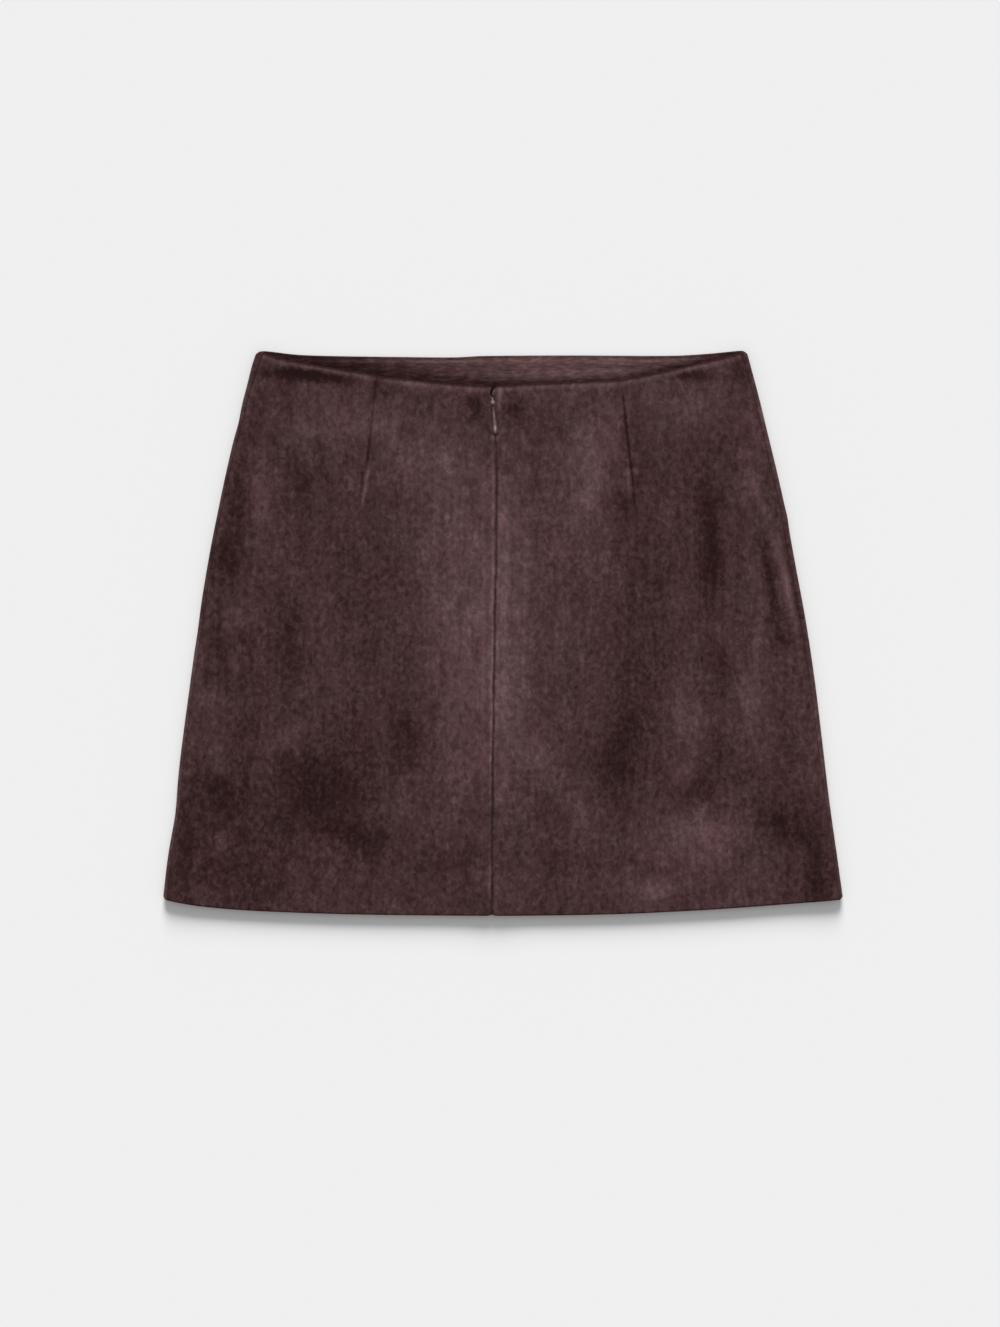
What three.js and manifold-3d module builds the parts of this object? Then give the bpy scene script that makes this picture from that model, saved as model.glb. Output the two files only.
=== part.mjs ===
import * as THREE from "three";
import { mergeVertices } from "three/addons/utils/BufferGeometryUtils.js";
import Module from "manifold-3d";

// A suede mini skirt laid flat on its front, with its back uppermost: A-line, two back darts, and a centre
// back seam that an invisible zip closes at the waist. Lengths are in millimetres. +X is to the right of the
// side that shows, +Y runs to the waist, and the origin is under its middle, on the surface that it lies on.

// The garment's own sizes
const SIDE_LENGTH = 402.2; // waist corner to hem corner, down the side
const HEM_DROP = 12.2; // how far the hem's middle hangs below its corners
const CORNER_Y = (SIDE_LENGTH + HEM_DROP) / 2; // the waist corners' place, with the origin at mid length
const SUEDE = 1.2; // one thickness of the cloth
const TURNED = 2 * SUEDE; // where an edge is turned in, the wall is two thicknesses
const WAIST_TURN = 6; // depth of the edge turned in at the back waist
const HEM_TURN = 30; // depth of the hem
const EASE = 1.5; // over which a turned edge thins to one thickness
const SEAM_GAP = 0.45; // between two pieces at a seam
const LAY_GAP = 0.3; // between a piece and the one that it lies on
const FACING = 1.0; // thickness of the facing inside the front waist
const FRONT_HEM_SHARE = 0.93; // the front's hem drops a little less, so the back's hem covers it

// How high the laid skirt stands
const FOLD_HEIGHT = 5.8; // over the folds at its two sides
const EDGE_SWELL = 0.4; // more than that at the waist and the hem, where the cloth is double
const SWELL_REACH = 22; // how far from those edges the swelling fades
const SAG_START = 2; // past the fold's curve, where the back starts to sink
const SAG_FULL = 48; // from the side, where it has sunk all the way
const FOLD_END = 8; // how near a side the largest folds run out
const RIDGE_WIDTH = 17; // half width of the ridge that the zip and the seam raise

// The outline: distance down the side, and the places of the two sides there
const OUTLINE = [
  { below: 0, left: -180.6, right: 179.2 },
  { below: 36.8, left: -191.3, right: 188.5 },
  { below: 73.6, left: -199.9, right: 197.7 },
  { below: 110.4, left: -208.3, right: 206.1 },
  { below: 154.6, left: -216.4, right: 214.2 },
  { below: 198.8, left: -223.4, right: 222.3 },
  { below: 242.9, left: -229.3, right: 229.0 },
  { below: 287.1, left: -235.2, right: 234.5 },
  { below: 331.3, left: -240.4, right: 239.6 },
  { below: 375.5, left: -246.2, right: 245.6 },
  { below: 402.2, left: -249.2, right: 249.2 },
];

// The waist and hem edges: how far each dips below its corners, across the skirt
const BACK_WAIST = [
  { x: -180.6, dip: 2.4 },
  { x: -177, dip: 0.9 },
  { x: -173, dip: 2.4 },
  { x: -165, dip: 5.2 },
  { x: -146, dip: 9.2 },
  { x: -124, dip: 13.0 },
  { x: -101, dip: 16.6 },
  { x: -92, dip: 18.6 },
  { x: -78, dip: 20.4 },
  { x: -37, dip: 24.6 },
  { x: -8, dip: 26.4 },
  { x: 24, dip: 24.3 },
  { x: 78, dip: 22.3 },
  { x: 89, dip: 21.1 },
  { x: 119, dip: 15.1 },
  { x: 147, dip: 8.7 },
  { x: 165, dip: 4.4 },
  { x: 173, dip: 2.0 },
  { x: 176, dip: 0.7 },
  { x: 179.2, dip: 2.4 },
];
const FRONT_WAIST = [
  { x: -180.6, dip: 2.4 },
  { x: -177, dip: 0.3 },
  { x: -171, dip: 0.5 },
  { x: -150, dip: 2.9 },
  { x: -120, dip: 3.9 },
  { x: -75, dip: 5.0 },
  { x: -35, dip: 4.8 },
  { x: -15, dip: 4.1 },
  { x: 50, dip: 3.9 },
  { x: 125, dip: 4.2 },
  { x: 150, dip: 2.7 },
  { x: 172, dip: 0.2 },
  { x: 176, dip: 0 },
  { x: 179.2, dip: 2.4 },
];
const HEM = [
  { x: -249.2, dip: -1.2 },
  { x: -247.5, dip: 0.6 },
  { x: -225, dip: 4.9 },
  { x: -194, dip: 7.9 },
  { x: -154, dip: 9.9 },
  { x: -107, dip: 11.3 },
  { x: -40, dip: 12.1 },
  { x: 15, dip: 12.2 },
  { x: 86, dip: 11.0 },
  { x: 145, dip: 8.2 },
  { x: 180, dip: 5.9 },
  { x: 215, dip: 3.2 },
  { x: 247.5, dip: 0.4 },
  { x: 249.2, dip: -1.2 },
];

// The seams: how far the side seams lie in from the outline, and the centre back seam's place
const SIDE_SEAMS = [
  { below: 0, left: 6.0, right: 5.0 },
  { below: 45, left: 3.6, right: 4.4 },
  { below: 200, left: 3.0, right: 4.4 },
  { below: 402.2, left: 2.6, right: 2.6 },
];
const CENTRE_SEAM = [
  { below: 0, x: -8.4 },
  { below: 24, x: -6.6 },
  { below: 50, x: -4.9 },
  { below: 110, x: -4.8 },
  { below: 200, x: -6.2 },
  { below: 290, x: -7.5 },
  { below: 402.2, x: -8.1 },
];
const CENTRE_RIDGE = [
  { below: 0, height: 7.2 },
  { below: 42, height: 6.5 },
  { below: 115, height: 5.8 },
  { below: 205, height: 5.1 },
  { below: 345, height: 4.9 },
  { below: 370, height: 5.9 },
  { below: 402.2, height: 6.2 },
];
const SAG = [
  { below: 0, depth: 0.3 },
  { below: 8, depth: 0.4 },
  { below: 42, depth: 1.3 },
  { below: 80, depth: 2.1 },
  { below: 150, depth: 2.3 },
  { below: 345, depth: 2.1 },
  { below: 367, depth: 0.7 },
  { below: 402.2, depth: 0.8 },
]; // how far the back sinks towards the front, between the side folds and the centre seam
const SEAM_ROLL = { depth: 0.4, width: 1.2 }; // how the cloth rolls down into a seam or a dart

// The two back darts: their stitched lines, and where the line would meet the hem
const DARTS = {
  left: { waistX: -93.6, pointX: -104.5, hemX: -128, fadeFrom: 65, length: 93 },
  right: { waistX: 87.2, pointX: 95.8, hemX: 119, fadeFrom: 64, length: 92 },
};

// The zip's mouth, open above its slider
const MOUTH = { width: 6, length: 22, closing: 13, corner: 3, cornerReach: 8, lip: 0.3, lipWidth: 3 };

// The largest folds, soft ridges (height over 0) and troughs: each one's middle, length, half width and lean
const FOLDS = [
  { x: -150, y: 187.5, length: 62, width: 4.5, height: -0.7, lean: 104 },
  { x: 147, y: 187.5, length: 40, width: 4.5, height: -0.5, lean: -104 },
  { x: -24, y: 168.0, length: 34, width: 8.0, height: -0.6, lean: 12 },
  { x: 10, y: 168.0, length: 34, width: 8.0, height: -0.6, lean: -12 },
  { x: 157, y: 73.0, length: 120, width: 9.0, height: -0.8, lean: 2 },
  { x: 178, y: 110.0, length: 130, width: 11.0, height: 0.7, lean: 8 },
  { x: 198, y: 45.0, length: 96, width: 6.0, height: -0.9, lean: 4 },
  { x: 208, y: 30.0, length: 90, width: 5.0, height: 0.8, lean: 9 },
  { x: 172, y: -20.0, length: 130, width: 13.0, height: 0.7, lean: 3 },
  { x: 148, y: -96.0, length: 80, width: 8.0, height: -0.6, lean: -4 },
  { x: -185, y: 120.0, length: 110, width: 10.0, height: 0.6, lean: -8 },
  { x: -203, y: 10.0, length: 120, width: 9.0, height: -0.6, lean: -5 },
  { x: -157, y: -78.0, length: 56, width: 6.0, height: 0.6, lean: -48 },
  { x: -60, y: -60.0, length: 150, width: 16.0, height: -0.6, lean: 3 },
  { x: 70, y: -70.0, length: 170, width: 18.0, height: -0.6, lean: -4 },
];

// The rows of the walls, as distances down the side, and the steps across them
const ROWS = [
  0, 1.2, 3.5, 6, 7.5, 11, 16, 23, 34, 50, 68, 88, 108, 130, 154, 180, 206, 232, 258, 284, 310, 335, 352,
  370.7, 372.2, 388, 399, 401.2, 402.2,
];
const FOLD_STEPS = 7;
const UNDERSIDE_STEPS = 9;
const PANEL_STEPS = 5; // between the columns beside a seam and those beside a dart
const BESIDE = { side: [0, 0.9, 2.4, 9], dart: [0, 0.9, 2.4], centre: [0, 0.9, 2.4, 7, 12, 20] };
const FACING_ROWS = [0.5, 3, 12, 26, 40];
const FACING_STEPS = 24;
const TAPE_STEPS = 9;

// The zip: its tape and coil, the slider's body, the lug that stands on it, and the pull that the lug holds
const ZIP = { end: 190, halfWidth: 12, tape: 0.5, coil: 1.0, coilHalf: 2.0, coilSide: 0.3, foldHalf: 7 };
const SLIDER = { pivotBelow: 11.6, lean: 5, width: 5.4, length: 7.6, height: 2.1, corner: 1.4, under: 0.5 };
const LUG = {
  width: 1.0,
  length: 5.4,
  post: 1.0,
  axisAbove: 1.1,
  holeHeight: 1.6,
  bar: 0.85,
  corner: 0.9,
  root: 0.4,
};
const PULL = {
  length: 24,
  thick: 0.9,
  eyeHalf: 0.8,
  eyeLength: 3.6,
  armHalf: 1.6,
  arm: 0.4,
  shoulder: 1.1,
  neckHalf: 0.95,
  endHalf: 2.1,
};
const TWIN = 1e-3; // points closer than this are one
const NUDGE = 0.05; // to either side of a point, to find the slope there
const ARC_STEPS = 6; // in each arc of the zip's metal pieces

const COLOURS = { suede: 0x4a3233, inside: 0x4d3536, tape: 0x2e2021, metal: 0x5d4444 };

const wasm = await Module();
wasm.setup();

const mix = THREE.MathUtils.lerp;
const ease = THREE.MathUtils.smoothstep;
const bell = (distance, width) => Math.exp(-((distance / width) ** 2));

// A smooth curve through one column of a table, read at a place in its key column
function read(table, key, column, at) {
  const last = table.length - 1;
  if (at <= table[0][key]) return table[0][column];
  if (at >= table[last][key]) return table[last][column];
  const i = table.findIndex((row) => row[key] > at) - 1;
  const slope = (k) => {
    const before = table[Math.max(k - 1, 0)];
    const after = table[Math.min(k + 1, last)];
    return (after[column] - before[column]) / (after[key] - before[key]);
  };
  const span = table[i + 1][key] - table[i][key];
  const t = (at - table[i][key]) / span;
  const start = table[i][column];
  const end = table[i + 1][column];
  return (
    start * (2 * t ** 3 - 3 * t ** 2 + 1) +
    slope(i) * span * (t ** 3 - 2 * t ** 2 + t) +
    end * (3 * t ** 2 - 2 * t ** 3) +
    slope(i + 1) * span * (t ** 3 - t ** 2)
  );
}

const leftSide = (below) => read(OUTLINE, "below", "left", below);
const rightSide = (below) => read(OUTLINE, "below", "right", below);
const centreSeam = (below) => read(CENTRE_SEAM, "below", "x", below);

// The place down the skirt's length of a point of a row. The rows turn from the waist's curve to the hem's.
function lengthwise(x, below, waist, hemShare = 1) {
  const across = (x - leftSide(below)) / (rightSide(below) - leftSide(below));
  const down = below / SIDE_LENGTH;
  const waistDip = read(waist, "x", "dip", mix(leftSide(0), rightSide(0), across));
  const hemDip = read(HEM, "x", "dip", mix(leftSide(SIDE_LENGTH), rightSide(SIDE_LENGTH), across));
  return CORNER_Y - below - mix(waistDip, hemDip * hemShare, down);
}

// The outer radius of the fold at the skirt's sides
function foldRadius(below) {
  const swell = bell(below, SWELL_REACH) + bell(SIDE_LENGTH - below, SWELL_REACH);
  return (FOLD_HEIGHT + EDGE_SWELL * swell) / 2;
}

function foldsAt(x, y) {
  return FOLDS.reduce((sum, fold) => {
    const lean = THREE.MathUtils.degToRad(fold.lean);
    const along = (x - fold.x) * Math.sin(lean) - (y - fold.y) * Math.cos(lean);
    const aside = (x - fold.x) * Math.cos(lean) + (y - fold.y) * Math.sin(lean);
    return sum + fold.height * bell(along, fold.length / 2) * bell(aside, fold.width);
  }, 0);
}

// The height of the back's outer surface, without its seams
function backHeight(x, below) {
  const radius = foldRadius(below);
  const fromSide = Math.min(x - leftSide(below), rightSide(below) - x);
  if (fromSide < radius) return radius + Math.sqrt(radius ** 2 - (radius - fromSide) ** 2);
  const sunk = ease(fromSide, radius + SAG_START, SAG_FULL);
  const plain = 2 * radius - sunk * read(SAG, "below", "depth", below);
  const ridge = read(CENTRE_RIDGE, "below", "height", below);
  const folds = foldsAt(x, lengthwise(x, below, BACK_WAIST)) * ease(fromSide, radius, FOLD_END);
  return plain + (ridge - plain) * bell(x - centreSeam(below), RIDGE_WIDTH) + folds;
}

function dartX(dart, below) {
  if (below < dart.length) return mix(dart.waistX, dart.pointX, below / dart.length);
  return mix(dart.pointX, dart.hemX, (below - dart.length) / (SIDE_LENGTH - dart.length));
}

// How deep the outer surface rolls in at the seams and the darts
function rollAt(x, below) {
  const { depth, width } = SEAM_ROLL;
  const seamShut = ease(below, MOUTH.closing, MOUTH.length);
  const leftSeam = leftSide(below) + read(SIDE_SEAMS, "below", "left", below);
  const rightSeam = rightSide(below) - read(SIDE_SEAMS, "below", "right", below);
  const darts = Object.values(DARTS).map((dart) => {
    const fade = 1 - ease(below, dart.fadeFrom, dart.length);
    return fade * bell(x - dartX(dart, below), width);
  });
  const sides = bell(x - leftSeam, width) + bell(x - rightSeam, width);
  return depth * (seamShut * bell(x - centreSeam(below), width) + sides + darts[0] + darts[1]);
}

function mouthHalf(below) {
  return (MOUTH.width / 2) * Math.max(0, 1 - below / MOUTH.length);
}

// The lips of the zip's mouth curl up
function lipAt(x, below) {
  const fade = 1 - ease(below, MOUTH.closing, MOUTH.length);
  const fromMouth = Math.abs(x - centreSeam(below)) - mouthHalf(below);
  return MOUTH.lip * fade * bell(fromMouth, MOUTH.lipWidth);
}

const surfaceHeight = (x, below) => backHeight(x, below) - rollAt(x, below) + lipAt(x, below);

// A point of the back, at a depth under its outer surface along the row's own normal
function backPoint(x, below, depth) {
  const rise = (surfaceHeight(x + NUDGE, below) - surfaceHeight(x - NUDGE, below)) / (2 * NUDGE);
  const length = Math.hypot(rise, 1);
  const fromMouth = Math.abs(x - centreSeam(below)) - mouthHalf(below);
  const inCorner = THREE.MathUtils.clamp(1 - fromMouth / MOUTH.corner, 0, 1);
  const corner = MOUTH.corner * (1 - Math.sqrt(1 - inCorner ** 2)) * (1 - ease(below, 0, MOUTH.cornerReach));
  return new THREE.Vector3(
    x + (depth * rise) / length,
    lengthwise(x, below, BACK_WAIST) - corner,
    surfaceHeight(x, below) - depth / length,
  );
}

function backWall(below) {
  const waist = 1 - ease(below, WAIST_TURN, WAIST_TURN + EASE);
  const hem = ease(below, SIDE_LENGTH - HEM_TURN - EASE, SIDE_LENGTH - HEM_TURN);
  return mix(SUEDE, TURNED, Math.max(waist, hem));
}

function frontWall(below) {
  return mix(SUEDE, TURNED, ease(below, SIDE_LENGTH - HEM_TURN - EASE, SIDE_LENGTH - HEM_TURN));
}

// Columns from one line to the next, close together beside both
function columnsBetween(start, fromStart, end, fromEnd) {
  const near = fromStart.map((offset) => start + offset);
  const far = fromEnd.map((offset) => end - offset).reverse();
  const between = Array.from({ length: PANEL_STEPS - 1 }, (_, i) =>
    mix(near[near.length - 1], far[0], (i + 1) / PANEL_STEPS),
  );
  return [...near, ...between, ...far];
}

// A closed solid between two grids of points. Their rows run down, and their columns run to the right as seen
// from outside the first grid.
function slab(outer, inner) {
  const rows = outer.length;
  const columns = outer[0].length;
  const positions = [...outer.flat(), ...inner.flat()].flatMap((point) => point.toArray());
  const index = [];
  const at = (layer, i, j) => layer * rows * columns + i * columns + j;
  const quad = (a, b, c, d) => index.push(a, b, c, a, c, d);
  for (let i = 0; i + 1 < rows; i++) {
    for (let j = 0; j + 1 < columns; j++) {
      quad(at(0, i, j), at(0, i + 1, j), at(0, i + 1, j + 1), at(0, i, j + 1));
      quad(at(1, i, j), at(1, i, j + 1), at(1, i + 1, j + 1), at(1, i + 1, j));
    }
    quad(at(0, i, 0), at(1, i, 0), at(1, i + 1, 0), at(0, i + 1, 0));
    quad(at(0, i, columns - 1), at(0, i + 1, columns - 1), at(1, i + 1, columns - 1), at(1, i, columns - 1));
  }
  for (let j = 0; j + 1 < columns; j++) {
    quad(at(0, 0, j), at(0, 0, j + 1), at(1, 0, j + 1), at(1, 0, j));
    quad(at(0, rows - 1, j), at(1, rows - 1, j), at(1, rows - 1, j + 1), at(0, rows - 1, j + 1));
  }
  const geometry = new THREE.BufferGeometry();
  geometry.setAttribute("position", new THREE.Float32BufferAttribute(positions, 3));
  geometry.setIndex(index);
  geometry.computeVertexNormals();
  return geometry;
}

// One half of the back, from its columns at each row
function backPanel(columnsAt) {
  const outer = ROWS.map((below) => columnsAt(below).map((x) => backPoint(x, below, 0)));
  const inner = ROWS.map((below) => columnsAt(below).map((x) => backPoint(x, below, backWall(below))));
  return slab(outer, inner);
}

function backLeftColumns(below) {
  const seam = leftSide(below) + read(SIDE_SEAMS, "below", "left", below) + SEAM_GAP / 2;
  const dart = dartX(DARTS.left, below);
  const centre = centreSeam(below) - mouthHalf(below) - SEAM_GAP / 2;
  return [
    ...columnsBetween(seam, BESIDE.side, dart, BESIDE.dart),
    ...columnsBetween(dart, BESIDE.dart, centre, BESIDE.centre).slice(1),
  ];
}

function backRightColumns(below) {
  const centre = centreSeam(below) + mouthHalf(below) + SEAM_GAP / 2;
  const dart = dartX(DARTS.right, below);
  const seam = rightSide(below) - read(SIDE_SEAMS, "below", "right", below) - SEAM_GAP / 2;
  return [
    ...columnsBetween(centre, BESIDE.centre, dart, BESIDE.dart),
    ...columnsBetween(dart, BESIDE.dart, seam, BESIDE.side).slice(1),
  ];
}

// The front's wall where it turns up round one side fold, from the side seam down to the underside: each
// step's distance in from the outline, its height, and its outward normal
function foldSteps(seamIn, below) {
  const radius = foldRadius(below);
  const flat = Math.max(0, seamIn - radius);
  const topAngle = Math.acos(THREE.MathUtils.clamp(1 - seamIn / radius, 0, 1));
  const total = flat + radius * (topAngle + Math.PI / 2);
  return Array.from({ length: FOLD_STEPS + 1 }, (_, i) => {
    const gone = (total * i) / FOLD_STEPS;
    const angle = gone < flat ? Math.PI / 2 : topAngle - (gone - flat) / radius;
    const rolled = SEAM_ROLL.depth * bell(gone, SEAM_ROLL.width);
    const fromSide = gone < flat ? seamIn - gone : radius - radius * Math.cos(angle);
    return {
      fromSide: fromSide + rolled * Math.cos(angle),
      height: radius + (radius - rolled) * Math.sin(angle),
      outward: Math.cos(angle),
      upward: Math.sin(angle),
    };
  });
}

// The front's section at a row, from the right side seam, along the underside, to the left side seam
function frontSection(below) {
  const left = leftSide(below);
  const right = rightSide(below);
  const seamIn = (side) => read(SIDE_SEAMS, "below", side, below) - SEAM_GAP / 2;
  const radius = foldRadius(below);
  const turned = (side, edge, sign) =>
    foldSteps(seamIn(side), below).map((step) => ({
      x: edge - sign * step.fromSide,
      z: step.height,
      nx: sign * step.outward,
      nz: step.upward,
    }));
  const underside = Array.from({ length: UNDERSIDE_STEPS - 1 }, (_, i) => ({
    x: mix(right - radius, left + radius, (i + 1) / UNDERSIDE_STEPS),
    z: 0,
    nx: 0,
    nz: -1,
  }));
  return [...turned("right", right, 1), ...underside, ...turned("left", left, -1).reverse()];
}

// The front takes the back's edge lines where it is turned up to the side seams, and its own underneath
function frontPanel() {
  const pointAt = (point, below, depth) => {
    const up = ease(point.z, 0, 2 * foldRadius(below));
    const own = lengthwise(point.x, below, FRONT_WAIST, FRONT_HEM_SHARE);
    const y = mix(own, lengthwise(point.x, below, BACK_WAIST), up);
    return new THREE.Vector3(point.x - point.nx * depth, y, point.z - point.nz * depth);
  };
  const grid = (depthAt) =>
    ROWS.map((below) => frontSection(below).map((point) => pointAt(point, below, depthAt(below))));
  return slab(
    grid(() => 0),
    grid(frontWall),
  );
}

// The facing inside the front waist lies on the front's inner face
function frontFacing() {
  const grid = (height) =>
    FACING_ROWS.map((below) =>
      Array.from({ length: FACING_STEPS + 1 }, (_, i) => {
        const inset = foldRadius(below) + LAY_GAP;
        const x = mix(leftSide(below) + inset, rightSide(below) - inset, i / FACING_STEPS);
        return new THREE.Vector3(x, lengthwise(x, below, FRONT_WAIST), height);
      }),
    );
  const laid = SUEDE + LAY_GAP;
  return slab(grid(laid + FACING), grid(laid));
}

// The closed zip hangs under the two back panels: a tape with the coil down its middle
function zipTape() {
  const start = SLIDER.pivotBelow + SLIDER.length / 2 + 2 * LAY_GAP;
  const rows = Array.from({ length: TAPE_STEPS + 1 }, (_, i) => mix(start, ZIP.end, i / TAPE_STEPS));
  const oneSide = [ZIP.coilHalf, ZIP.coilHalf + ZIP.coilSide, ZIP.foldHalf, ZIP.halfWidth];
  const offsets = [...oneSide.map((offset) => -offset).reverse(), 0, ...oneSide];
  const grid = (depthAt) =>
    rows.map((below) =>
      offsets.map((offset) => {
        const x = centreSeam(below) + offset;
        return new THREE.Vector3(
          x,
          lengthwise(x, below, BACK_WAIST),
          backHeight(x, below) - SEAM_ROLL.depth - SUEDE - LAY_GAP - depthAt(offset),
        );
      }),
    );
  const underneath = (offset) => ZIP.tape + (Math.abs(offset) <= ZIP.coilHalf ? ZIP.coil : 0);
  return slab(
    grid(() => 0),
    grid(underneath),
  );
}

function roundedRectangle(halfWidth, low, high, corner) {
  const shape = new THREE.Shape();
  shape.moveTo(-halfWidth + corner, low);
  shape.lineTo(halfWidth - corner, low);
  shape.absarc(halfWidth - corner, low + corner, corner, -Math.PI / 2, 0);
  shape.lineTo(halfWidth, high - corner);
  shape.absarc(halfWidth - corner, high - corner, corner, 0, Math.PI / 2);
  shape.lineTo(-halfWidth + corner, high);
  shape.absarc(-halfWidth + corner, high - corner, corner, Math.PI / 2, Math.PI);
  shape.lineTo(-halfWidth, low + corner);
  shape.absarc(-halfWidth + corner, low + corner, corner, Math.PI, 1.5 * Math.PI);
  return shape;
}

function rectangleHole(halfWidth, low, high) {
  const hole = new THREE.Path();
  hole.moveTo(-halfWidth, low);
  hole.lineTo(-halfWidth, high);
  hole.lineTo(halfWidth, high);
  hole.lineTo(halfWidth, low);
  hole.closePath();
  return hole;
}

// A flat plate of a shape, from z = 0 up, without the near-twin points that arcs leave where they meet lines
function plate(shape, depth) {
  const distinct = (points) =>
    points.filter((point, i) => point.distanceTo(points[(i + 1) % points.length]) > TWIN);
  const outline = new THREE.Shape(distinct(shape.getPoints(ARC_STEPS)));
  outline.holes = shape.holes.map((hole) => new THREE.Path(distinct(hole.getPoints(ARC_STEPS))));
  return new THREE.ExtrudeGeometry(outline, { depth, bevelEnabled: false });
}

// Two closed geometries joined into one body
function joined(first, second) {
  const [one, other] = [first, second].map((geometry) => {
    const bare = new THREE.BufferGeometry().setAttribute("position", geometry.getAttribute("position"));
    const merged = mergeVertices(bare, TWIN);
    const vertProperties = merged.getAttribute("position").array;
    return new wasm.Manifold(new wasm.Mesh({ numProp: 3, vertProperties, triVerts: merged.index.array }));
  });
  const { vertProperties, triVerts } = one.add(other).getMesh();
  const geometry = new THREE.BufferGeometry();
  geometry.setAttribute("position", new THREE.BufferAttribute(vertProperties, 3));
  geometry.setIndex(new THREE.BufferAttribute(triVerts, 1));
  geometry.computeVertexNormals();
  return geometry;
}

// The slider's body rides under the panels, and its lug stands up through the zip's mouth. The loop of the
// lug holds the pull. The slider's own frame has the pull's axis at its origin.
function zipSlider() {
  const bodyTop = -LUG.axisAbove - SUEDE - SLIDER.under;
  const half = SLIDER.length / 2;
  const body = plate(roundedRectangle(SLIDER.width / 2, -half, half, SLIDER.corner), SLIDER.height);
  body.translate(0, 0, bodyTop - SLIDER.height);
  const loopTop = LUG.holeHeight / 2 + LUG.bar;
  const loop = roundedRectangle(LUG.length / 2, bodyTop - LUG.root, loopTop, LUG.corner);
  loop.holes.push(rectangleHole(LUG.length / 2 - LUG.post, -LUG.holeHeight / 2, LUG.holeHeight / 2));
  const lug = plate(loop, LUG.width).translate(0, 0, -LUG.width / 2);
  lug.rotateX(Math.PI / 2).rotateZ(Math.PI / 2);
  return joined(body, lug);
}

// The pull: a flat teardrop whose eye goes round the slider's loop, with its axis at the origin
function zipPull() {
  const bar = PULL.thick / 2;
  const armEnd = -PULL.eyeLength - PULL.arm;
  const taperStart = armEnd - PULL.shoulder;
  const neck = taperStart - PULL.shoulder;
  const endCentre = -PULL.length + PULL.endHalf;
  const taperEnd = endCentre + PULL.endHalf;
  const shape = new THREE.Shape();
  shape.moveTo(-PULL.armHalf + bar, bar);
  shape.absarc(-PULL.armHalf + bar, 0, bar, Math.PI / 2, Math.PI);
  shape.lineTo(-PULL.armHalf, armEnd);
  shape.quadraticCurveTo(-PULL.armHalf, taperStart, -PULL.neckHalf, neck);
  shape.lineTo(-PULL.endHalf, taperEnd);
  shape.absarc(0, endCentre, PULL.endHalf, Math.PI, 2 * Math.PI);
  shape.lineTo(PULL.endHalf, taperEnd);
  shape.lineTo(PULL.neckHalf, neck);
  shape.quadraticCurveTo(PULL.armHalf, taperStart, PULL.armHalf, armEnd);
  shape.lineTo(PULL.armHalf, 0);
  shape.absarc(PULL.armHalf - bar, 0, bar, 0, Math.PI / 2);
  shape.holes.push(rectangleHole(PULL.eyeHalf, -PULL.eyeLength, -bar));
  return plate(shape, PULL.thick).translate(0, 0, -bar);
}

function piece(name, geometry, color, roughness = 0.95, metalness = 0) {
  const mesh = new THREE.Mesh(geometry, new THREE.MeshStandardMaterial({ color, roughness, metalness }));
  mesh.name = name;
  return mesh;
}

const skirt = new THREE.Group();
skirt.add(piece("front_panel", frontPanel(), COLOURS.suede));
skirt.add(piece("front_facing", frontFacing(), COLOURS.inside));
skirt.add(piece("back_left_panel", backPanel(backLeftColumns), COLOURS.suede));
skirt.add(piece("back_right_panel", backPanel(backRightColumns), COLOURS.suede));
skirt.add(piece("zip_tape", zipTape(), COLOURS.tape));

// The slider and its pull stand at the zip's mouth, leaning as the seam does there
const pivotX = centreSeam(SLIDER.pivotBelow);
const pivotY = lengthwise(pivotX, SLIDER.pivotBelow, BACK_WAIST);
const pivotZ = backHeight(pivotX, SLIDER.pivotBelow) + LUG.axisAbove;
const tipRest = backHeight(pivotX, SLIDER.pivotBelow + PULL.length) + LAY_GAP;
const zip = new THREE.Group();
zip.position.set(pivotX, pivotY, pivotZ);
zip.rotation.z = THREE.MathUtils.degToRad(SLIDER.lean);
zip.add(piece("zip_slider", zipSlider(), COLOURS.metal, 0.35, 0.8));
const pull = piece("zip_pull", zipPull(), COLOURS.metal, 0.35, 0.8);
pull.rotation.x = Math.atan2(pivotZ - PULL.thick / 2 - tipRest, PULL.length); // its tip rests on the cloth
zip.add(pull);
skirt.add(zip);

export default skirt;
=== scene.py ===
"""A suede mini skirt laid flat with its back uppermost: its cloth, its zip and the light on them.

Lengths are in millimetres up to the meshes, which are in metres. +X is to the right of the side that shows,
+Y runs to the waist, and z = 0 is the surface that the skirt lies on.
"""

import math

import bpy
import numpy as np
from mathutils import Euler, Matrix, Vector


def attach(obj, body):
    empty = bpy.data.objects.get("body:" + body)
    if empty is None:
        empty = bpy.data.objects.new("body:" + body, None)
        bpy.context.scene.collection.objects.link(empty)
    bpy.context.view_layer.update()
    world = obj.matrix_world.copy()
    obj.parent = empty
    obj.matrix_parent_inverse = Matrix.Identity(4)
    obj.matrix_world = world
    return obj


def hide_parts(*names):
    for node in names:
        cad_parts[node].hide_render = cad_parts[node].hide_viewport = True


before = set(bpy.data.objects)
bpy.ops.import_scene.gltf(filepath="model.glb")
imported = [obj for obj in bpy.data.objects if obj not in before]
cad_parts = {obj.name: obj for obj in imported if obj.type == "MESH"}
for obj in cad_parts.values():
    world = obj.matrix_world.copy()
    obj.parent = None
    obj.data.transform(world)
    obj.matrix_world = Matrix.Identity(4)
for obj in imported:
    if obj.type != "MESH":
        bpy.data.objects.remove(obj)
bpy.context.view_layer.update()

MM = 0.001
X_AXIS, Y_AXIS, Z_AXIS = np.eye(3)


def table(columns, *rows):
    """A table with named columns, as one array for each column."""
    return dict(zip(columns.split(), np.array(rows, float).T))


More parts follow.
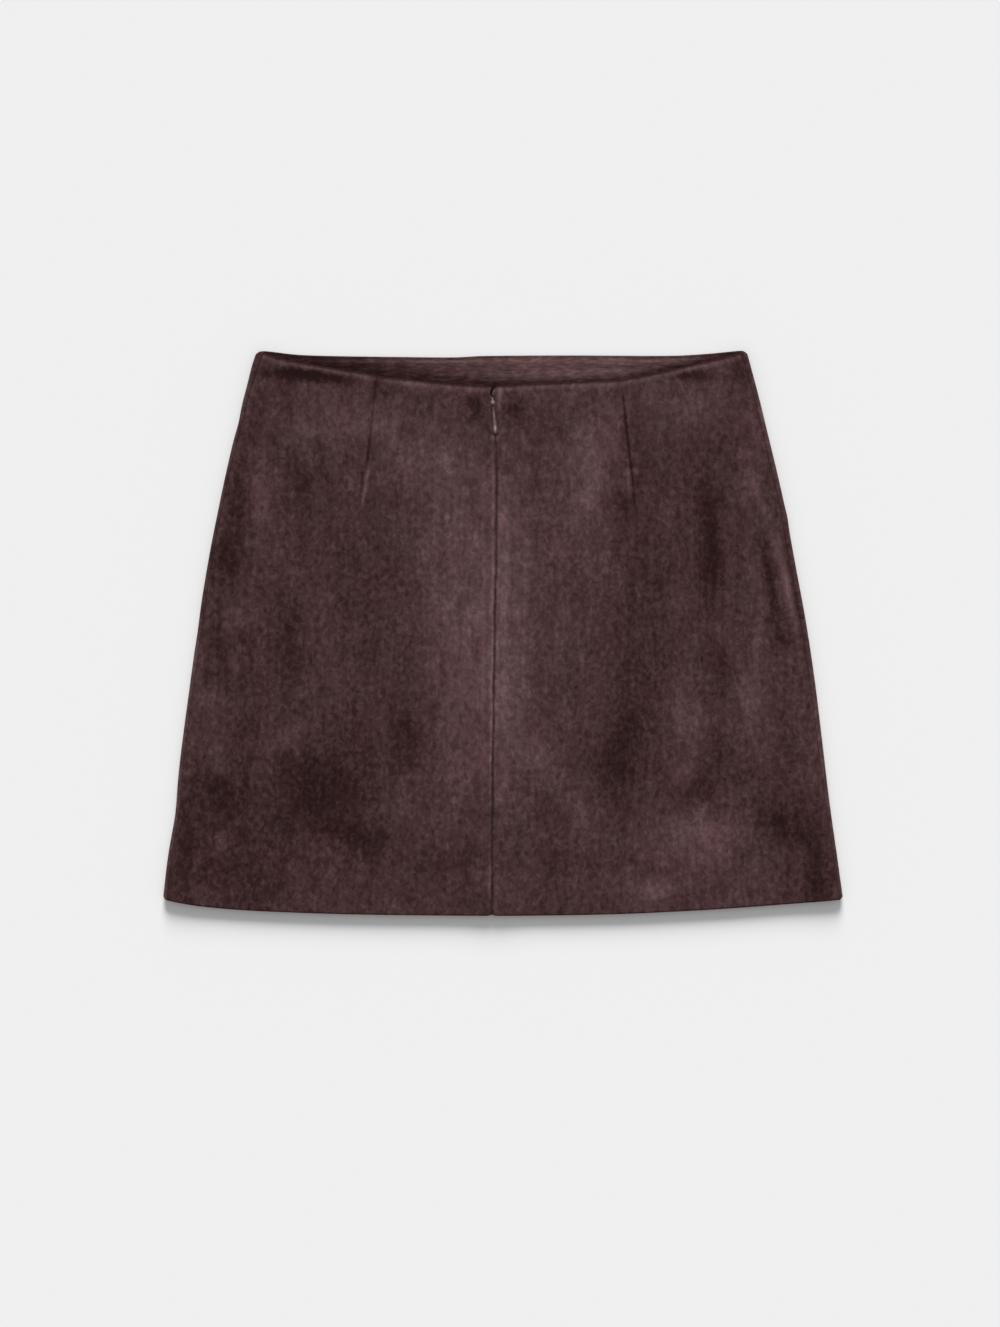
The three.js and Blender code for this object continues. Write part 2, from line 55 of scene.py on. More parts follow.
# The garment's own sizes
SIDE_LENGTH = 402.2  # waist corner to hem corner, down the side
HEM_DROP = 12.2  # how far the hem's middle hangs below its corners
CORNER_Y = (SIDE_LENGTH + HEM_DROP) / 2
SUEDE = 1.2  # one thickness of the cloth
TURNED = 2 * SUEDE  # where an edge is turned in
WAIST_TURN = 6
HEM_TURN = 30
EASE = 1.5  # over which a turned edge thins to one thickness
SEAM_GAP = 0.14  # the sewn edges press closer together than the solids do
LAY_GAP = 0.3
FACING = 1.0
FRONT_HEM_SHARE = 0.93  # the front's hem drops a little less, so the back's hem covers it

# How high the laid skirt stands
FOLD_HEIGHT = 5.8
EDGE_SWELL = 0.4
SWELL_REACH = 22
SAG_START = 2
SAG_FULL = 48
FOLD_END = 8
RIDGE_WIDTH = 17

OUTLINE = table(
    "below left right",
    (0, -180.6, 179.2), (36.8, -191.3, 188.5), (73.6, -199.9, 197.7), (110.4, -208.3, 206.1),
    (154.6, -216.4, 214.2), (198.8, -223.4, 222.3), (242.9, -229.3, 229.0), (287.1, -235.2, 234.5),
    (331.3, -240.4, 239.6), (375.5, -246.2, 245.6), (402.2, -249.2, 249.2),
)
# Slight bends of the sides between those places: how far each moves the edge along X
LEFT_BENDS = table(
    "below reach length",
    (8, -0.9, 12), (51, 0.8, 10), (112, 0.5, 24), (205, 0.4, 14), (341, 1.2, 19),
)
RIGHT_BENDS = table("below reach length", (32, 0.4, 22), (121, 0.45, 7), (290, -0.35, 60))
BACK_WAIST = table(
    "x dip",
    (-180.6, 2.4), (-177, 0.9), (-173, 2.4), (-165, 5.2), (-146, 9.2), (-124, 13.0), (-101, 16.6),
    (-92, 18.6), (-78, 20.4), (-37, 24.6), (-8, 26.4), (24, 24.3), (78, 22.3), (89, 21.1),
    (119, 15.1), (147, 8.7), (165, 4.4), (173, 2.0), (176, 0.7), (179.2, 2.4),
)
FRONT_WAIST = table(
    "x dip",
    (-180.6, 2.4), (-177, 0.3), (-171, 0.5), (-150, 2.9), (-120, 3.9), (-75, 4.5), (-35, 4.8),
    (-15, 3.8), (50, 3.4), (125, 3.6), (150, 2.2), (172, 0.1), (176, 0), (179.2, 2.4),
)
HEM = table(
    "x dip",
    (-249.2, -1.2), (-247.5, 0.6), (-225, 4.9), (-194, 7.9), (-154, 9.9), (-107, 11.3), (-40, 12.1),
    (15, 12.2), (86, 11.0), (145, 8.2), (180, 5.9), (215, 3.2), (247.5, 0.4), (249.2, -1.2),
)
SIDE_SEAMS = table("below left right", (0, 6, 5), (45, 3.6, 4.4), (200, 3, 4.4), (402.2, 2.6, 2.6))
CENTRE_SEAM = table(
    "below x",
    (0, -8.4), (24, -6.6), (50, -4.9), (110, -4.8), (200, -6.2), (290, -7.5), (402.2, -8.1),
)
CENTRE_RIDGE = table(
    "below height",
    (0, 7.2), (42, 6.5), (115, 5.8), (205, 5.1), (345, 4.9), (370, 5.9), (402.2, 6.2),
)
SAG = table(
    "below depth",
    (0, 0.3), (8, 0.4), (42, 1.3), (80, 2.1), (150, 2.3), (345, 2.1), (367, 0.7), (402.2, 0.8),
)
SEAM_ROLL = {"depth": 0.42, "width": 1.2, "side": 0.55}
DART_ROLL = {"depth": 1.4, "width": 0.75}  # as shares of the centre seam's
DARTS = {
    "left": {"waist": -92.5, "point": -102.2, "hem": -128, "fade": 65, "length": 93},
    "right": {"waist": 86.2, "point": 96.6, "hem": 119, "fade": 64, "length": 92},
}
MOUTH = {"length": 20, "closing": 13, "corner": 1.8, "reach": 4, "lip": 0.35, "lip_width": 3}
# How far the edges of the zip's mouth lie to each side of the seam's line. The right lip leans over it.
MOUTH_EDGES = table(
    "below left right",
    (0, 0.1, 2.9), (2.4, 0.7, 1.5), (4.4, 1.4, 0.5), (6.2, 1.5, -0.3), (7.6, 1.0, -0.2),
    (8.8, 0.85, 0.75), (11.5, 0.8, 0.8), (14, 0.8, 0.8), (15.6, 0.2, 0.2), (20, 0, 0),
)

# A fold's middle, length, half width, height (under 0 in a trough) and lean
FOLD_COLUMNS = "x y length width height lean"
# The folds that the solids have too
FOLDS = table(
    FOLD_COLUMNS,
    (-150, 188.5, 60, 4.5, -0.7, 87),
    (142, 188.5, 40, 4.5, -0.5, -96),
    (-24, 168, 34, 8, -0.6, 12),
    (10, 168, 34, 8, -0.6, -12),
    (157, 73, 120, 9, -0.8, 2),
    (178, 110, 130, 11, 0.7, 8),
    (198, 45, 96, 6, -0.9, 4),
    (208, 30, 90, 5, 0.8, 9),
    (172, -20, 130, 13, 0.7, 3),
    (148, -96, 80, 8, -0.6, -4),
    (-185, 120, 110, 10, 0.6, -8),
    (-203, 10, 120, 9, -0.6, -5),
    (-157, -78, 56, 6, 0.6, -48),
    (-60, -60, 150, 16, -0.6, 3),
    (70, -70, 170, 18, -0.6, -4),
)
# The smaller creases and dents of the back
CREASES = table(
    FOLD_COLUMNS,
    (-106, 103, 26, 1.6, 0.28, -12),
    (-103, 92, 18, 3.5, -0.22, -6),
    (94, 112, 22, 1.5, 0.26, 8),
    (99, 93, 20, 3.5, -0.22, 6),
    (-86, 128, 48, 7, 0.25, 4),
    (78, 138, 52, 8, 0.22, -6),
    (-138, 150, 60, 6, -0.25, 66),
    (-122, 176, 40, 3.5, 0.22, 98),
    (-60, 176, 46, 3.2, 0.2, 84),
    (56, 175, 44, 3.0, 0.2, -84),
    (120, 178, 36, 3.2, 0.22, -100),
    (-166, 166, 44, 4, -0.3, 30),
    (160, 164, 40, 4, -0.28, -28),
    (-28, 152, 22, 2.2, 0.18, 40),
    (12, 150, 20, 2.0, 0.18, -42),
    (205, 78, 34, 3.0, 0.35, 18),
    (200, 86, 26, 2.4, -0.35, 40),
    (190, 2, 70, 3.2, 0.3, 5),
    (184, -48, 60, 5, -0.3, 6),
    (214, -60, 90, 4, 0.3, 8),
    (-206, 62, 54, 4, -0.35, -8),
    (-196, 34, 40, 5, 0.3, 62),
    (-214, -62, 60, 4, 0.3, -7),
    (-176, -48, 44, 4, -0.22, -40),
    (-120, -20, 80, 8, 0.22, 8),
    (-136, -128, 60, 9, -0.25, 20),
    (-82, -150, 70, 9, 0.2, -10),
    (-30, -40, 90, 7, 0.2, -2),
    (32, 20, 100, 6, -0.2, 2),
    (60, 88, 60, 6, 0.22, -10),
    (124, -60, 70, 7, 0.22, 6),
    (100, -150, 60, 10, 0.25, -16),
    (150, -150, 50, 8, 0.25, 12),
    (204, -150, 50, 8, -0.25, 10),
    (30, -160, 60, 9, -0.2, -6),
    (-190, -160, 44, 7, 0.22, 24),
)
# Soft troughs pressed up into the side that it lies on, which is flat between them
UNDER_CREASES = table(
    FOLD_COLUMNS,
    (-150, 60, 130, 10, 0.2, -7),
    (-96, -90, 150, 12, 0.22, -4),
    (-20, 30, 190, 9, 0.16, 3),
    (58, -110, 120, 13, 0.24, 6),
    (112, 70, 120, 9, 0.2, 5),
    (164, -40, 140, 11, 0.24, 8),
    (-184, -110, 90, 8, 0.2, -12),
    (10, -165, 80, 10, 0.16, 70),
)
# Ridges along the facing where it shows
FACING_CREASES = table(
    FOLD_COLUMNS,
    (-120, 197, 90, 1.6, 0.3, 94),
    (-40, 198, 110, 1.8, 0.35, 89),
    (60, 197, 120, 1.5, 0.4, 90),
    (70, 191, 80, 1.3, 0.3, 91),
    (140, 196, 60, 1.4, 0.35, 84),
    (-70, 190, 60, 2.4, -0.2, 98),
)
FACING_MARKS = table("x depth width", (-123.7, 0.3, 0.7), (136.7, 0.3, 0.7))
PUCKERS = table("wave height width", (17.3, 0.07, 5), (11.1, 0.06, 4), (29.7, 0.08, 8))
WOBBLE = table("wave reach", (61, 0.16), (23, 0.08))
HEM_NOTCH = {"rise": 0.7, "width": 2.0, "reach": 5}

# Where the nap lies light (over 0) or dark, together with light and shade painted over folds and creases,
# along the waist's rim and at the zip's mouth: middle, half length, half width, lean and how much
NAP_AND_SHADE = table(
    "x y length width lean light",
    (-30, 20, 120, 32, 0, 0.46),
    (-3, 10, 110, 9, 0, 0.22),
    (13, 10, 115, 9, 0, 0.33),
    (-14, -40, 60, 26, 0, 0.2),
    (-56, 128, 18, 26, 0, 0.45),
    (-82, 138, 24, 8, -2, 0.35),
    (-38, 84, 30, 22, 0, 0.2),
    (-120, 150, 12, 50, 8, 0.35),
    (-66, 183, 8, 9, 0, 0.35),
    (62, 120, 50, 13, 0, 0.6),
    (80, 148, 26, 8, 0, 0.45),
    (40, 60, 80, 34, 0, 0.25),
    (24, -88, 18, 18, 0, 0.4),
    (-31, -104, 20, 14, 0, 0.25),
    (0, -172, 16, 12, 0, 0.25),
    (134, -59, 24, 12, 0, 0.42),
    (130, -100, 12, 9, 0, 0.4),
    (142, -143, 14, 30, 0, 0.45),
    (108, -188, 9, 18, 0, 0.55),
    (150, -166, 24, 24, 0, 0.4),
    (190, -172, 14, 14, 0, 0.25),
    (-178, 104, 26, 9, -3, 0.55),
    (-178, 62, 12, 10, 0, 0.2),
    (-197, 16, 14, 10, 0, 0.4),
    (-211, -84, 16, 9, 0, 0.35),
    (-214, -50, 10, 9, 0, 0.4),
    # Painted highlight along the ridge of a fold near the left side
    (-154, -76, 22, 7, -48, 0.5),
    (-134, 20, 40, 12, 0, 0.12),
    (-70, -130, 12, 12, 0, 0.25),
    (190, 92, 26, 3.5, 17, 0.45),
    # Painted highlight along the ridge of a fold near the right side, with a darker line beside it
    (208, 34, 40, 3.4, 12, 0.7),
    (214, 28, 36, 2.6, 11, -0.45),
    (230, -76, 44, 6, 6, 0.2),
    (180, -44, 30, 9, 4, 0.55),
    (187, 0, 44, 6, 4, 0.35),
    (180, 124, 20, 7, 8, 0.2),
    (196, 150, 30, 7, 12, 0.3),
    (130, 168, 12, 24, 0, 0.25),
    (108, 178, 9, 13, 0, 0.3),
    (48, 174, 8, 22, 0, 0.22),
    (-105, 170, 13, 26, 0, 0.28),
    (105, 10, 90, 16, 2, -0.3),
    (90, -55, 40, 12, 6, -0.4),
    (80, -100, 27, 15, 0, -0.65),
    # Painted shade in the trough of a fold near the right side
    (152, 58, 40, 9, 2, -0.95),
    (148, 104, 20, 8, 0, -0.4),
    # Painted shade in the trough of a fold by the right side
    (195, 42, 32, 3.6, 9, -0.55),
    (201, -6, 12, 6, 0, -0.4),
    (160, -26, 18, 8, 0, -0.3),
    (145, -114, 12, 8, 0, -0.5),
    (172, -104, 8, 24, 0, -0.25),
    (156, -84, 14, 8, 0, -0.3),
    (204, -140, 18, 17, 0, -0.75),
    (230, -176, 32, 13, 4, -0.6),
    (-148, 112, 14, 9, 0, -0.35),
    (-195, 84, 30, 8, -10, -0.5),
    (-204, 56, 16, 11, 0, -0.5),
    (-210, -10, 18, 9, 0, -0.35),
    (-156, -10, 36, 9, 0, -0.35),
    (-69, -78, 24, 10, 0, -0.6),
    (-130, -114, 30, 36, 0, -0.8),
    (-204, -116, 18, 16, 0, -0.45),
    (-99, -153, 13, 20, 0, -0.45),
    (-200, -165, 42, 46, 0, -0.4),
    (-232, -150, 40, 9, -6, -0.3),
    (-12, -165, 10, 62, 0, -0.3),
    (-110, -150, 12, 30, 0, -0.2),
    (-190, -30, 120, 50, 0, -0.12),
    (-105, 20, 90, 26, 0, -0.12),
    # Painted shade in the troughs on either side of the zip's mouth
    (-20, 166, 10, 6.5, 0, -0.8),
    (9, 162, 10, 8, 0, -0.6),
    # Painted shade in the trough under the left waist rim
    (-146, 189, 25, 4.3, 87, -1.5),
    (-88, 178, 7, 9, 0, -0.45),
    # Painted shade in the trough under the right waist rim
    (139, 189, 12, 3.8, -97, -0.75),
    (128, 188, 28, 4, -95, -0.3),
    (176, 196, 14, 6, 10, -0.5),
    # Painted highlights on the lips of the zip's mouth and on the waist's rim beside it
    (-2.4, 173.5, 7, 1.8, -4, 0.9),
    (-2.6, 166, 5, 1.1, 10, 0.3),
    (-18.5, 178.8, 8, 1.8, 105, 0.35),
    (-14, 169.4, 6, 1.1, 33, 0.45),
    (-9, 162, 5, 3, 0, 0.3),
    # Painted shade under the left waist rim, and painted highlights along the rolled rim on both sides
    (-118, 185, 14, 5, 80, -0.5),
    (-128, 192.3, 26, 1.9, 80.5, 0.5),
    (132, 192.5, 14, 1.9, 103, 0.6),
    # Painted light below the pull's tip, thinning the pull's cast shadow there
    (-6.2, 143.8, 2.6, 2.6, 0, 1.2),
    (-142, 162, 20, 32, 0, 0.14),
    (135, 166, 18, 26, 0, 0.25),
    (156, 110, 12, 6, 0, 0.3),
    (-205, -18, 12, 8, 0, 0.25),
    (-195, -74, 8, 6, 0, -0.3),
    (157, 193, 8, 7, 0, 0.35),
    (-97, 149, 7, 7, 0, 0.4),
    (66, 25, 22, 5, 0, 0.3),
    (58, -124, 20, 8, 0, 0.38),
    (-224, -28, 16, 6, 8, 0.4),
    (172, -28, 14, 4, 8, -0.35),
    (168, -168, 14, 7, 0, -0.3),
    (-183, 141, 9, 10, 0, -0.35),
    (-133, 60, 14, 5, 0, -0.3),
    (-221, -152, 22, 4, -8, 0.35),
    (-206, -155, 6, 9, 40, 0.4),
    (-155, -178, 7, 11, 0, 0.25),
    (-65, -22, 16, 12, 0, -0.22),
    (-60, -176, 10, 16, 0, -0.2),
)
# Painted highlights on the ridges beside the centre seam, which the allowances press through, and painted
# shade along the seam's own line
SEAM_PAINTED_LIGHT = table(
    "start end top bottom width light",
    (32, 402, 0, 0, 0.9, -0.5),
    (34, 300, -2.8, -1.4, 1.0, 0.5),
    (250, 402, -1.6, -1.8, 0.8, 0.3),
    (60, 330, -10.5, -6.4, 1.5, 0.3),
    (34, 330, 2.0, 2.2, 0.8, 0.2),
    (60, 330, 6.5, 6.5, 5.0, 0.28),
)
# How strongly the painted seam lines show, waxing and waning along the seam
SEAM_LIGHT_WAVES = table("wave much", (31, 0.22), (12.7, 0.18), (71, 0.15))
# Painted highlight along the back's rolled waist rim, and painted shade on its very edge
RIM_PAINTED_LIGHT = table("below width light", (2.8, 1.9, 0.55), (0, 1.1, -1.7))
# Painted shade along the darts' grooves, and painted highlights on the ridges beside them
DART_PAINTED_LIGHT = table(
    "left start end top bottom width light",
    (1, 0, 68, 0, 0, 0.9, -0.35),
    (1, 0, 22, 0.6, 0.2, 2.4, -0.5),
    (1, 40, 68, 0, -0.3, 1.4, -0.35),
    (1, 68, 100, 1.2, -1.0, 1.3, 0.8),
    (1, 68, 98, -3.0, -2.6, 1.0, -0.5),
    (0, 8, 100, 0, 0, 0.9, -0.6),
    (0, 26, 62, 0, 0.3, 1.3, -0.25),
    (0, 66, 90, -2.4, -3.2, 1.3, 0.6),
    (0, 88, 104, -8, -7, 2.4, -0.5),
)

# Meshes: how far apart their points are, and the first points in from a rounded edge of radius 1
PITCH = 2.0
UNDER_PITCH = 4.5
FOLD_STEPS = 12  # round a side fold
RIM = (0, 0.08, 0.3, 0.62, 1.0)
BESIDE_SEAM = (0.95, 1.4, 2.1, 3.0)
BESIDE_EDGE = (1.7, 2.6, 4.0)
BESIDE_DART = (-3.0, -2.0, -1.3, -0.8, -0.4, 0, 0.4, 0.8, 1.3, 2.0, 3.0)
NUDGE = 0.05
FAR = 99  # past every rounded edge

STITCH = {"pitch": 2.6, "length": 1.9, "radius": 0.1, "deep": 0.3, "dip": 0.14, "slant": 0.04}
STITCH |= {"centre_start": 40, "side_start": 4}
ZIP = {"start": 16, "end": 190, "half": 12, "tape": 0.5}
COIL = {"pitch": 1.1, "wire": 0.2, "across": 1.15, "high": 0.32, "aside": 0.75, "turn_steps": 12, "sides": 6}
SLIDER = {"pivot": 11.6, "lean": 5, "width": 5.4, "length": 7.6, "height": 2.1, "corner": 1.4}
SLIDER |= {"under": 0.5, "bevel": 0.45}
# The rises and insets of the rings on its edges, as shares of its bevel
BEVEL = ((0, 0.9), (0.13, 0.5), (0.45, 0.12), (1, 0))
BAIL = {"above": 1.1, "half_length": 2.22, "top": 1.22, "corner": 0.9, "half_wide": 0.66, "half_thick": 0.42}
PULL = {"length": 24, "thick": 0.9, "eye_half": 1.2, "eye_length": 3.9, "eye_corner": 0.7, "wire": 0.42}
# Painted highlights along the pull: how far along it, their half length, their half width and how strong
PULL_HIGHLIGHTS = table(
    "along length half much",
    (0.3, 1.3, 1.8, 0.9), (9.5, 3.0, 0.8, 0.4), (15, 2.4, 0.6, 0.45), (19.8, 2.2, 0.7, 1.2),
)
BLADE = table(
    "along half thick",
    (3.5, 1.25, 0.34), (4.4, 1.3, 0.38), (5.4, 1.08, 0.4), (6.6, 0.95, 0.41), (12, 1.22, 0.42),
    (18, 1.82, 0.44), (20.6, 2.08, 0.44), (21.9, 2.1, 0.43), (22.9, 1.86, 0.4), (23.5, 1.36, 0.33),
    (23.85, 0.8, 0.22), (24, 0.0, 0.0),
)


def mix(start, end, share):
    return start + (end - start) * share


def ease(value, start, end):
    share = np.clip((value - start) / (end - start), 0, 1)
    return share * share * (3 - 2 * share)


def bell(distance, width):
    return np.exp(-((distance / width) ** 2))


def rows_of(a_table):
    """The rows of a table, each as a dict of its named values."""
    return [dict(zip(a_table, row)) for row in zip(*a_table.values())]


def read(curve, column, at):
    """A smooth curve through one column of a table, read at places in its first column."""
    keys = next(iter(curve.values()))
    values = curve[column]
    wide_keys, wide_values = np.pad(keys, 1, mode="edge"), np.pad(values, 1, mode="edge")
    slopes = (wide_values[2:] - wide_values[:-2]) / (wide_keys[2:] - wide_keys[:-2])
    at = np.clip(at, keys[0], keys[-1])
    i = np.clip(np.searchsorted(keys, at, side="right") - 1, 0, len(keys) - 2)
    span = keys[i + 1] - keys[i]
    t = (at - keys[i]) / span
    return (
        values[i] * (2 * t**3 - 3 * t**2 + 1)
        + slopes[i] * span * (t**3 - 2 * t**2 + t)
        + values[i + 1] * (3 * t**2 - 2 * t**3)
        + slopes[i + 1] * span * (t**3 - t**2)
    )


def bends_at(bends, below):
    return sum(bend["reach"] * bell(below - bend["below"], bend["length"]) for bend in rows_of(bends))


def left_side(below):
    return read(OUTLINE, "left", below) + bends_at(LEFT_BENDS, below)


def right_side(below):
    return read(OUTLINE, "right", below) + bends_at(RIGHT_BENDS, below)


def left_seam(below):
    return left_side(below) + read(SIDE_SEAMS, "left", below)


def right_seam(below):
    return right_side(below) - read(SIDE_SEAMS, "right", below)


def from_sides(x, below):
    """How far in from the nearer side fold."""
    return np.minimum(x - left_side(below), right_side(below) - x)


def centre_seam(below):
    return read(CENTRE_SEAM, "x", below)


def wobble(below):
    """How the sewn line of the centre seam strays, below the zip's mouth."""
    strays = 0
    for i, wave in enumerate(rows_of(WOBBLE)):
        strays = strays + wave["reach"] * np.sin(2 * np.pi * below / wave["wave"] + i)
    return strays * ease(below, 30, 60)


def lengthwise(x, below, waist, drop_share=1.0):
    """The place along Y of a point of a row. The rows turn from the waist's curve to the hem's."""
    left, right = left_side(below), right_side(below)
    across = (x - left) / (right - left)
    waist_dip = read(waist, "dip", mix(OUTLINE["left"][0], OUTLINE["right"][0], across))
    hem_dip = read(HEM, "dip", mix(OUTLINE["left"][-1], OUTLINE["right"][-1], across))
    return CORNER_Y - below - mix(waist_dip, hem_dip * drop_share, below / SIDE_LENGTH)


def back_y(x, below):
    return lengthwise(x, below, BACK_WAIST)


def fold_radius(below):
    swell = bell(below, SWELL_REACH) + bell(SIDE_LENGTH - below, SWELL_REACH)
    return (FOLD_HEIGHT + EDGE_SWELL * swell) / 2


def in_frame_of(row, x, y):
    """How far points lie along and aside of a fold's or patch's middle line."""
    lean = math.radians(row["lean"])
    along = (x - row["x"]) * math.sin(lean) - (y - row["y"]) * math.cos(lean)
    aside = (x - row["x"]) * math.cos(lean) + (y - row["y"]) * math.sin(lean)
    return along, aside


def folds_at(folds, x, y):
    total = np.zeros(np.broadcast(x, y).shape)
    for fold in rows_of(folds):
        along, aside = in_frame_of(fold, x, y)
        total += fold["height"] * bell(along, fold["length"] / 2) * bell(aside, fold["width"])
    return total


def puckers_at(x, below):
    """The cloth's slight gathers along the centre seam, stronger beside the zip."""
    aside = np.abs(x - centre_seam(below))
    waves = 0
    for i, pucker in enumerate(rows_of(PUCKERS)):
        phase = 2 * np.pi * below / pucker["wave"] + 1.7 * i + np.where(x < centre_seam(below), 0.9, 0)
        waves = waves + pucker["height"] * np.sin(phase) * bell(aside, pucker["width"])
    return waves * mix(1.0, 0.6, ease(below, ZIP["end"], ZIP["end"] + 20)) * ease(below, 26, 50)


def back_height(x, below):
    """The height of the back's outer surface, without its seams. It is the solids' own form."""
    radius = fold_radius(below)
    from_side = from_sides(x, below)
    curve = radius + np.sqrt(np.maximum(radius**2 - (radius - np.minimum(from_side, radius)) ** 2, 0))
    plain = 2 * radius - ease(from_side, radius + SAG_START, SAG_FULL) * read(SAG, "depth", below)
    ridge = read(CENTRE_RIDGE, "height", below)
    y = back_y(x, below)
    folds = (folds_at(FOLDS, x, y) + folds_at(CREASES, x, y)) * ease(from_side, radius, FOLD_END)
    spread = plain + (ridge - plain) * bell(x - centre_seam(below), RIDGE_WIDTH) + folds
    return np.where(from_side < radius, curve, spread)


def dart_x(dart, below):
    upper = mix(dart["waist"], dart["point"], below / dart["length"])
    lower = mix(dart["point"], dart["hem"], (below - dart["length"]) / (SIDE_LENGTH - dart["length"]))
    return np.where(below < dart["length"], upper, lower)


def roll_at(x, below):
    """How deep the outer surface rolls in at the seams and the darts."""
    depth, width = SEAM_ROLL["depth"], SEAM_ROLL["width"]
    seam_shut = ease(below, MOUTH["closing"], MOUTH["length"])
    sides = bell(x - left_seam(below), width) + bell(x - right_seam(below), width)
    total = seam_shut * bell(x - centre_seam(below), width) + SEAM_ROLL["side"] * sides
    for dart in DARTS.values():
        fade = 1 - ease(below, dart["fade"], dart["length"])
        total = total + DART_ROLL["depth"] * fade * bell(x - dart_x(dart, below), DART_ROLL["width"] * width)
    return depth * total


def mouth_edges(below):
    """The places of the two edges that the zip lies between."""
    line = centre_seam(below)
    return line - read(MOUTH_EDGES, "left", below), line + read(MOUTH_EDGES, "right", below)


def from_mouth(x, below):
    left, right = mouth_edges(below)
    return np.where(x < (left + right) / 2, left - x, x - right)


def lip_at(x, below):
    fade = 1 - ease(below, MOUTH["closing"], MOUTH["length"])
    return MOUTH["lip"] * fade * bell(from_mouth(x, below), MOUTH["lip_width"])


def surface_height(x, below):
    return back_height(x, below) - roll_at(x, below) + lip_at(x, below) + puckers_at(x, below)


def rounded(distance, radius):
    """The share of a rounded edge's thickness at a distance in from its rim."""
    gone = np.clip(distance / radius, 0, 1)
    return np.sqrt(1 - (1 - gone) ** 2)


def stations(start, end, near_start, near_end, pitch, steps=None):
    """Places from start to end, close together at both, and about a pitch apart between."""
    low, high = start + near_start[-1], end - near_end[-1]
    steps = steps or max(2, round(float(np.max(high - low)) / pitch))
    between = np.linspace(low, high, steps + 1)[1:-1]
    first = [start + offset for offset in near_start]
    last = [end - offset for offset in reversed(near_end)]
    return np.stack([*first, *between, *last], axis=-1)


def hem_share(below):
    """How far the cloth is turned double for the hem, from 0 to 1."""
    return ease(below, SIDE_LENGTH - HEM_TURN - EASE, SIDE_LENGTH - HEM_TURN)


def rounded_rim(rows, columns, radius):
    """The share of the thickness over a sheet whose four edges are all rounded."""
    ends = rounded(rows - rows[0], radius) * rounded(rows[-1] - rows, radius)
    return ends * rounded(columns - columns[:, :1], radius) * rounded(columns[:, -1:] - columns, radius)


def edge_offsets(radius, further):
    return [radius * share for share in RIM] + list(further)


def panel_rows():
    edge = edge_offsets(TURNED / 2, BESIDE_EDGE)
    return stations(0.0, SIDE_LENGTH, edge, edge, PITCH)[:, None]


def quads(index):
    """The four-sided faces between neighbours of a grid of point numbers."""
    return np.stack([index[:-1, :-1], index[1:, :-1], index[1:, 1:], index[:-1, 1:]], -1).reshape(-1, 4)


def shell(outer, inner):
    """A closed mesh between two grids of points that meet at their rims."""
    rows, columns = outer.shape[:2]
    within = np.zeros((rows, columns), bool)
    within[1:-1, 1:-1] = True
    points = np.concatenate([outer.reshape(-1, 3), inner[within]])
    top = np.arange(rows * columns).reshape(rows, columns)
    bottom = top.copy()
    bottom[within] = rows * columns + np.arange(within.sum())

    return points, np.concatenate([quads(top), quads(bottom)[:, ::-1]])


def back_panel(x, below):
    """One half of the back, from the places of its columns at each row."""
    rise = (surface_height(x + NUDGE, below) - surface_height(x - NUDGE, below)) / (2 * NUDGE)
    slant = np.hypot(rise, 1)
    waist = 1 - ease(below, WAIST_TURN, WAIST_TURN + EASE)
    wall = mix(SUEDE, TURNED, np.maximum(waist, hem_share(below)))
    edge = rounded(below, TURNED / 2) * rounded(SIDE_LENGTH - below, TURNED / 2)
    edge = edge * rounded(x - x[:, :1], SUEDE / 2) * rounded(x[:, -1:] - x, SUEDE / 2)
    gap = from_mouth(x, below)
    in_corner = np.clip(1 - gap / MOUTH["corner"], 0, 1)
    corner = MOUTH["corner"] * (1 - np.sqrt(1 - in_corner**2)) * (1 - ease(below, 0, MOUTH["reach"]))
    from_hem = SIDE_LENGTH - below
    notch = HEM_NOTCH["rise"] * bell(gap, HEM_NOTCH["width"]) * bell(from_hem, HEM_NOTCH["reach"])
    y = back_y(x, below) - corner + notch
    z = surface_height(x, below)

    def layer(depth):
        return np.stack([x + wobble(below) * bell(gap, 6) + depth * rise / slant, y, z - depth / slant], -1)

    outer, inner = layer(wall / 2 * (1 - edge)), layer(wall / 2 * (1 + edge))
    return shell(outer, inner)


def back_left():
    below = panel_rows()
    seam_edge = edge_offsets(SUEDE / 2, BESIDE_SEAM)
    start = (left_seam(below) + SEAM_GAP / 2)[:, 0]
    dart = dart_x(DARTS["left"], below)[:, 0]
    end = (mouth_edges(below)[0] - SEAM_GAP / 2)[:, 0]
    return back_panel(panel_columns(start, dart, end, seam_edge), below)


def back_right():
    below = panel_rows()
    seam_edge = edge_offsets(SUEDE / 2, BESIDE_SEAM)
    start = (mouth_edges(below)[1] + SEAM_GAP / 2)[:, 0]
    dart = dart_x(DARTS["right"], below)[:, 0]
    end = (right_seam(below) - SEAM_GAP / 2)[:, 0]
    return back_panel(panel_columns(start, dart, end, seam_edge), below)


def panel_columns(start, dart, end, seam_edge):
    """The columns of half the back at each row, close together at its two seams and at its dart."""
    half = len(BESIDE_DART) // 2
    to_dart = [-offset for offset in BESIDE_DART[half::-1]]
    first = stations(start, dart, seam_edge, to_dart, PITCH)
    second = stations(dart, end, to_dart, seam_edge, PITCH)
    return np.concatenate([first, second[:, 1:]], axis=1)


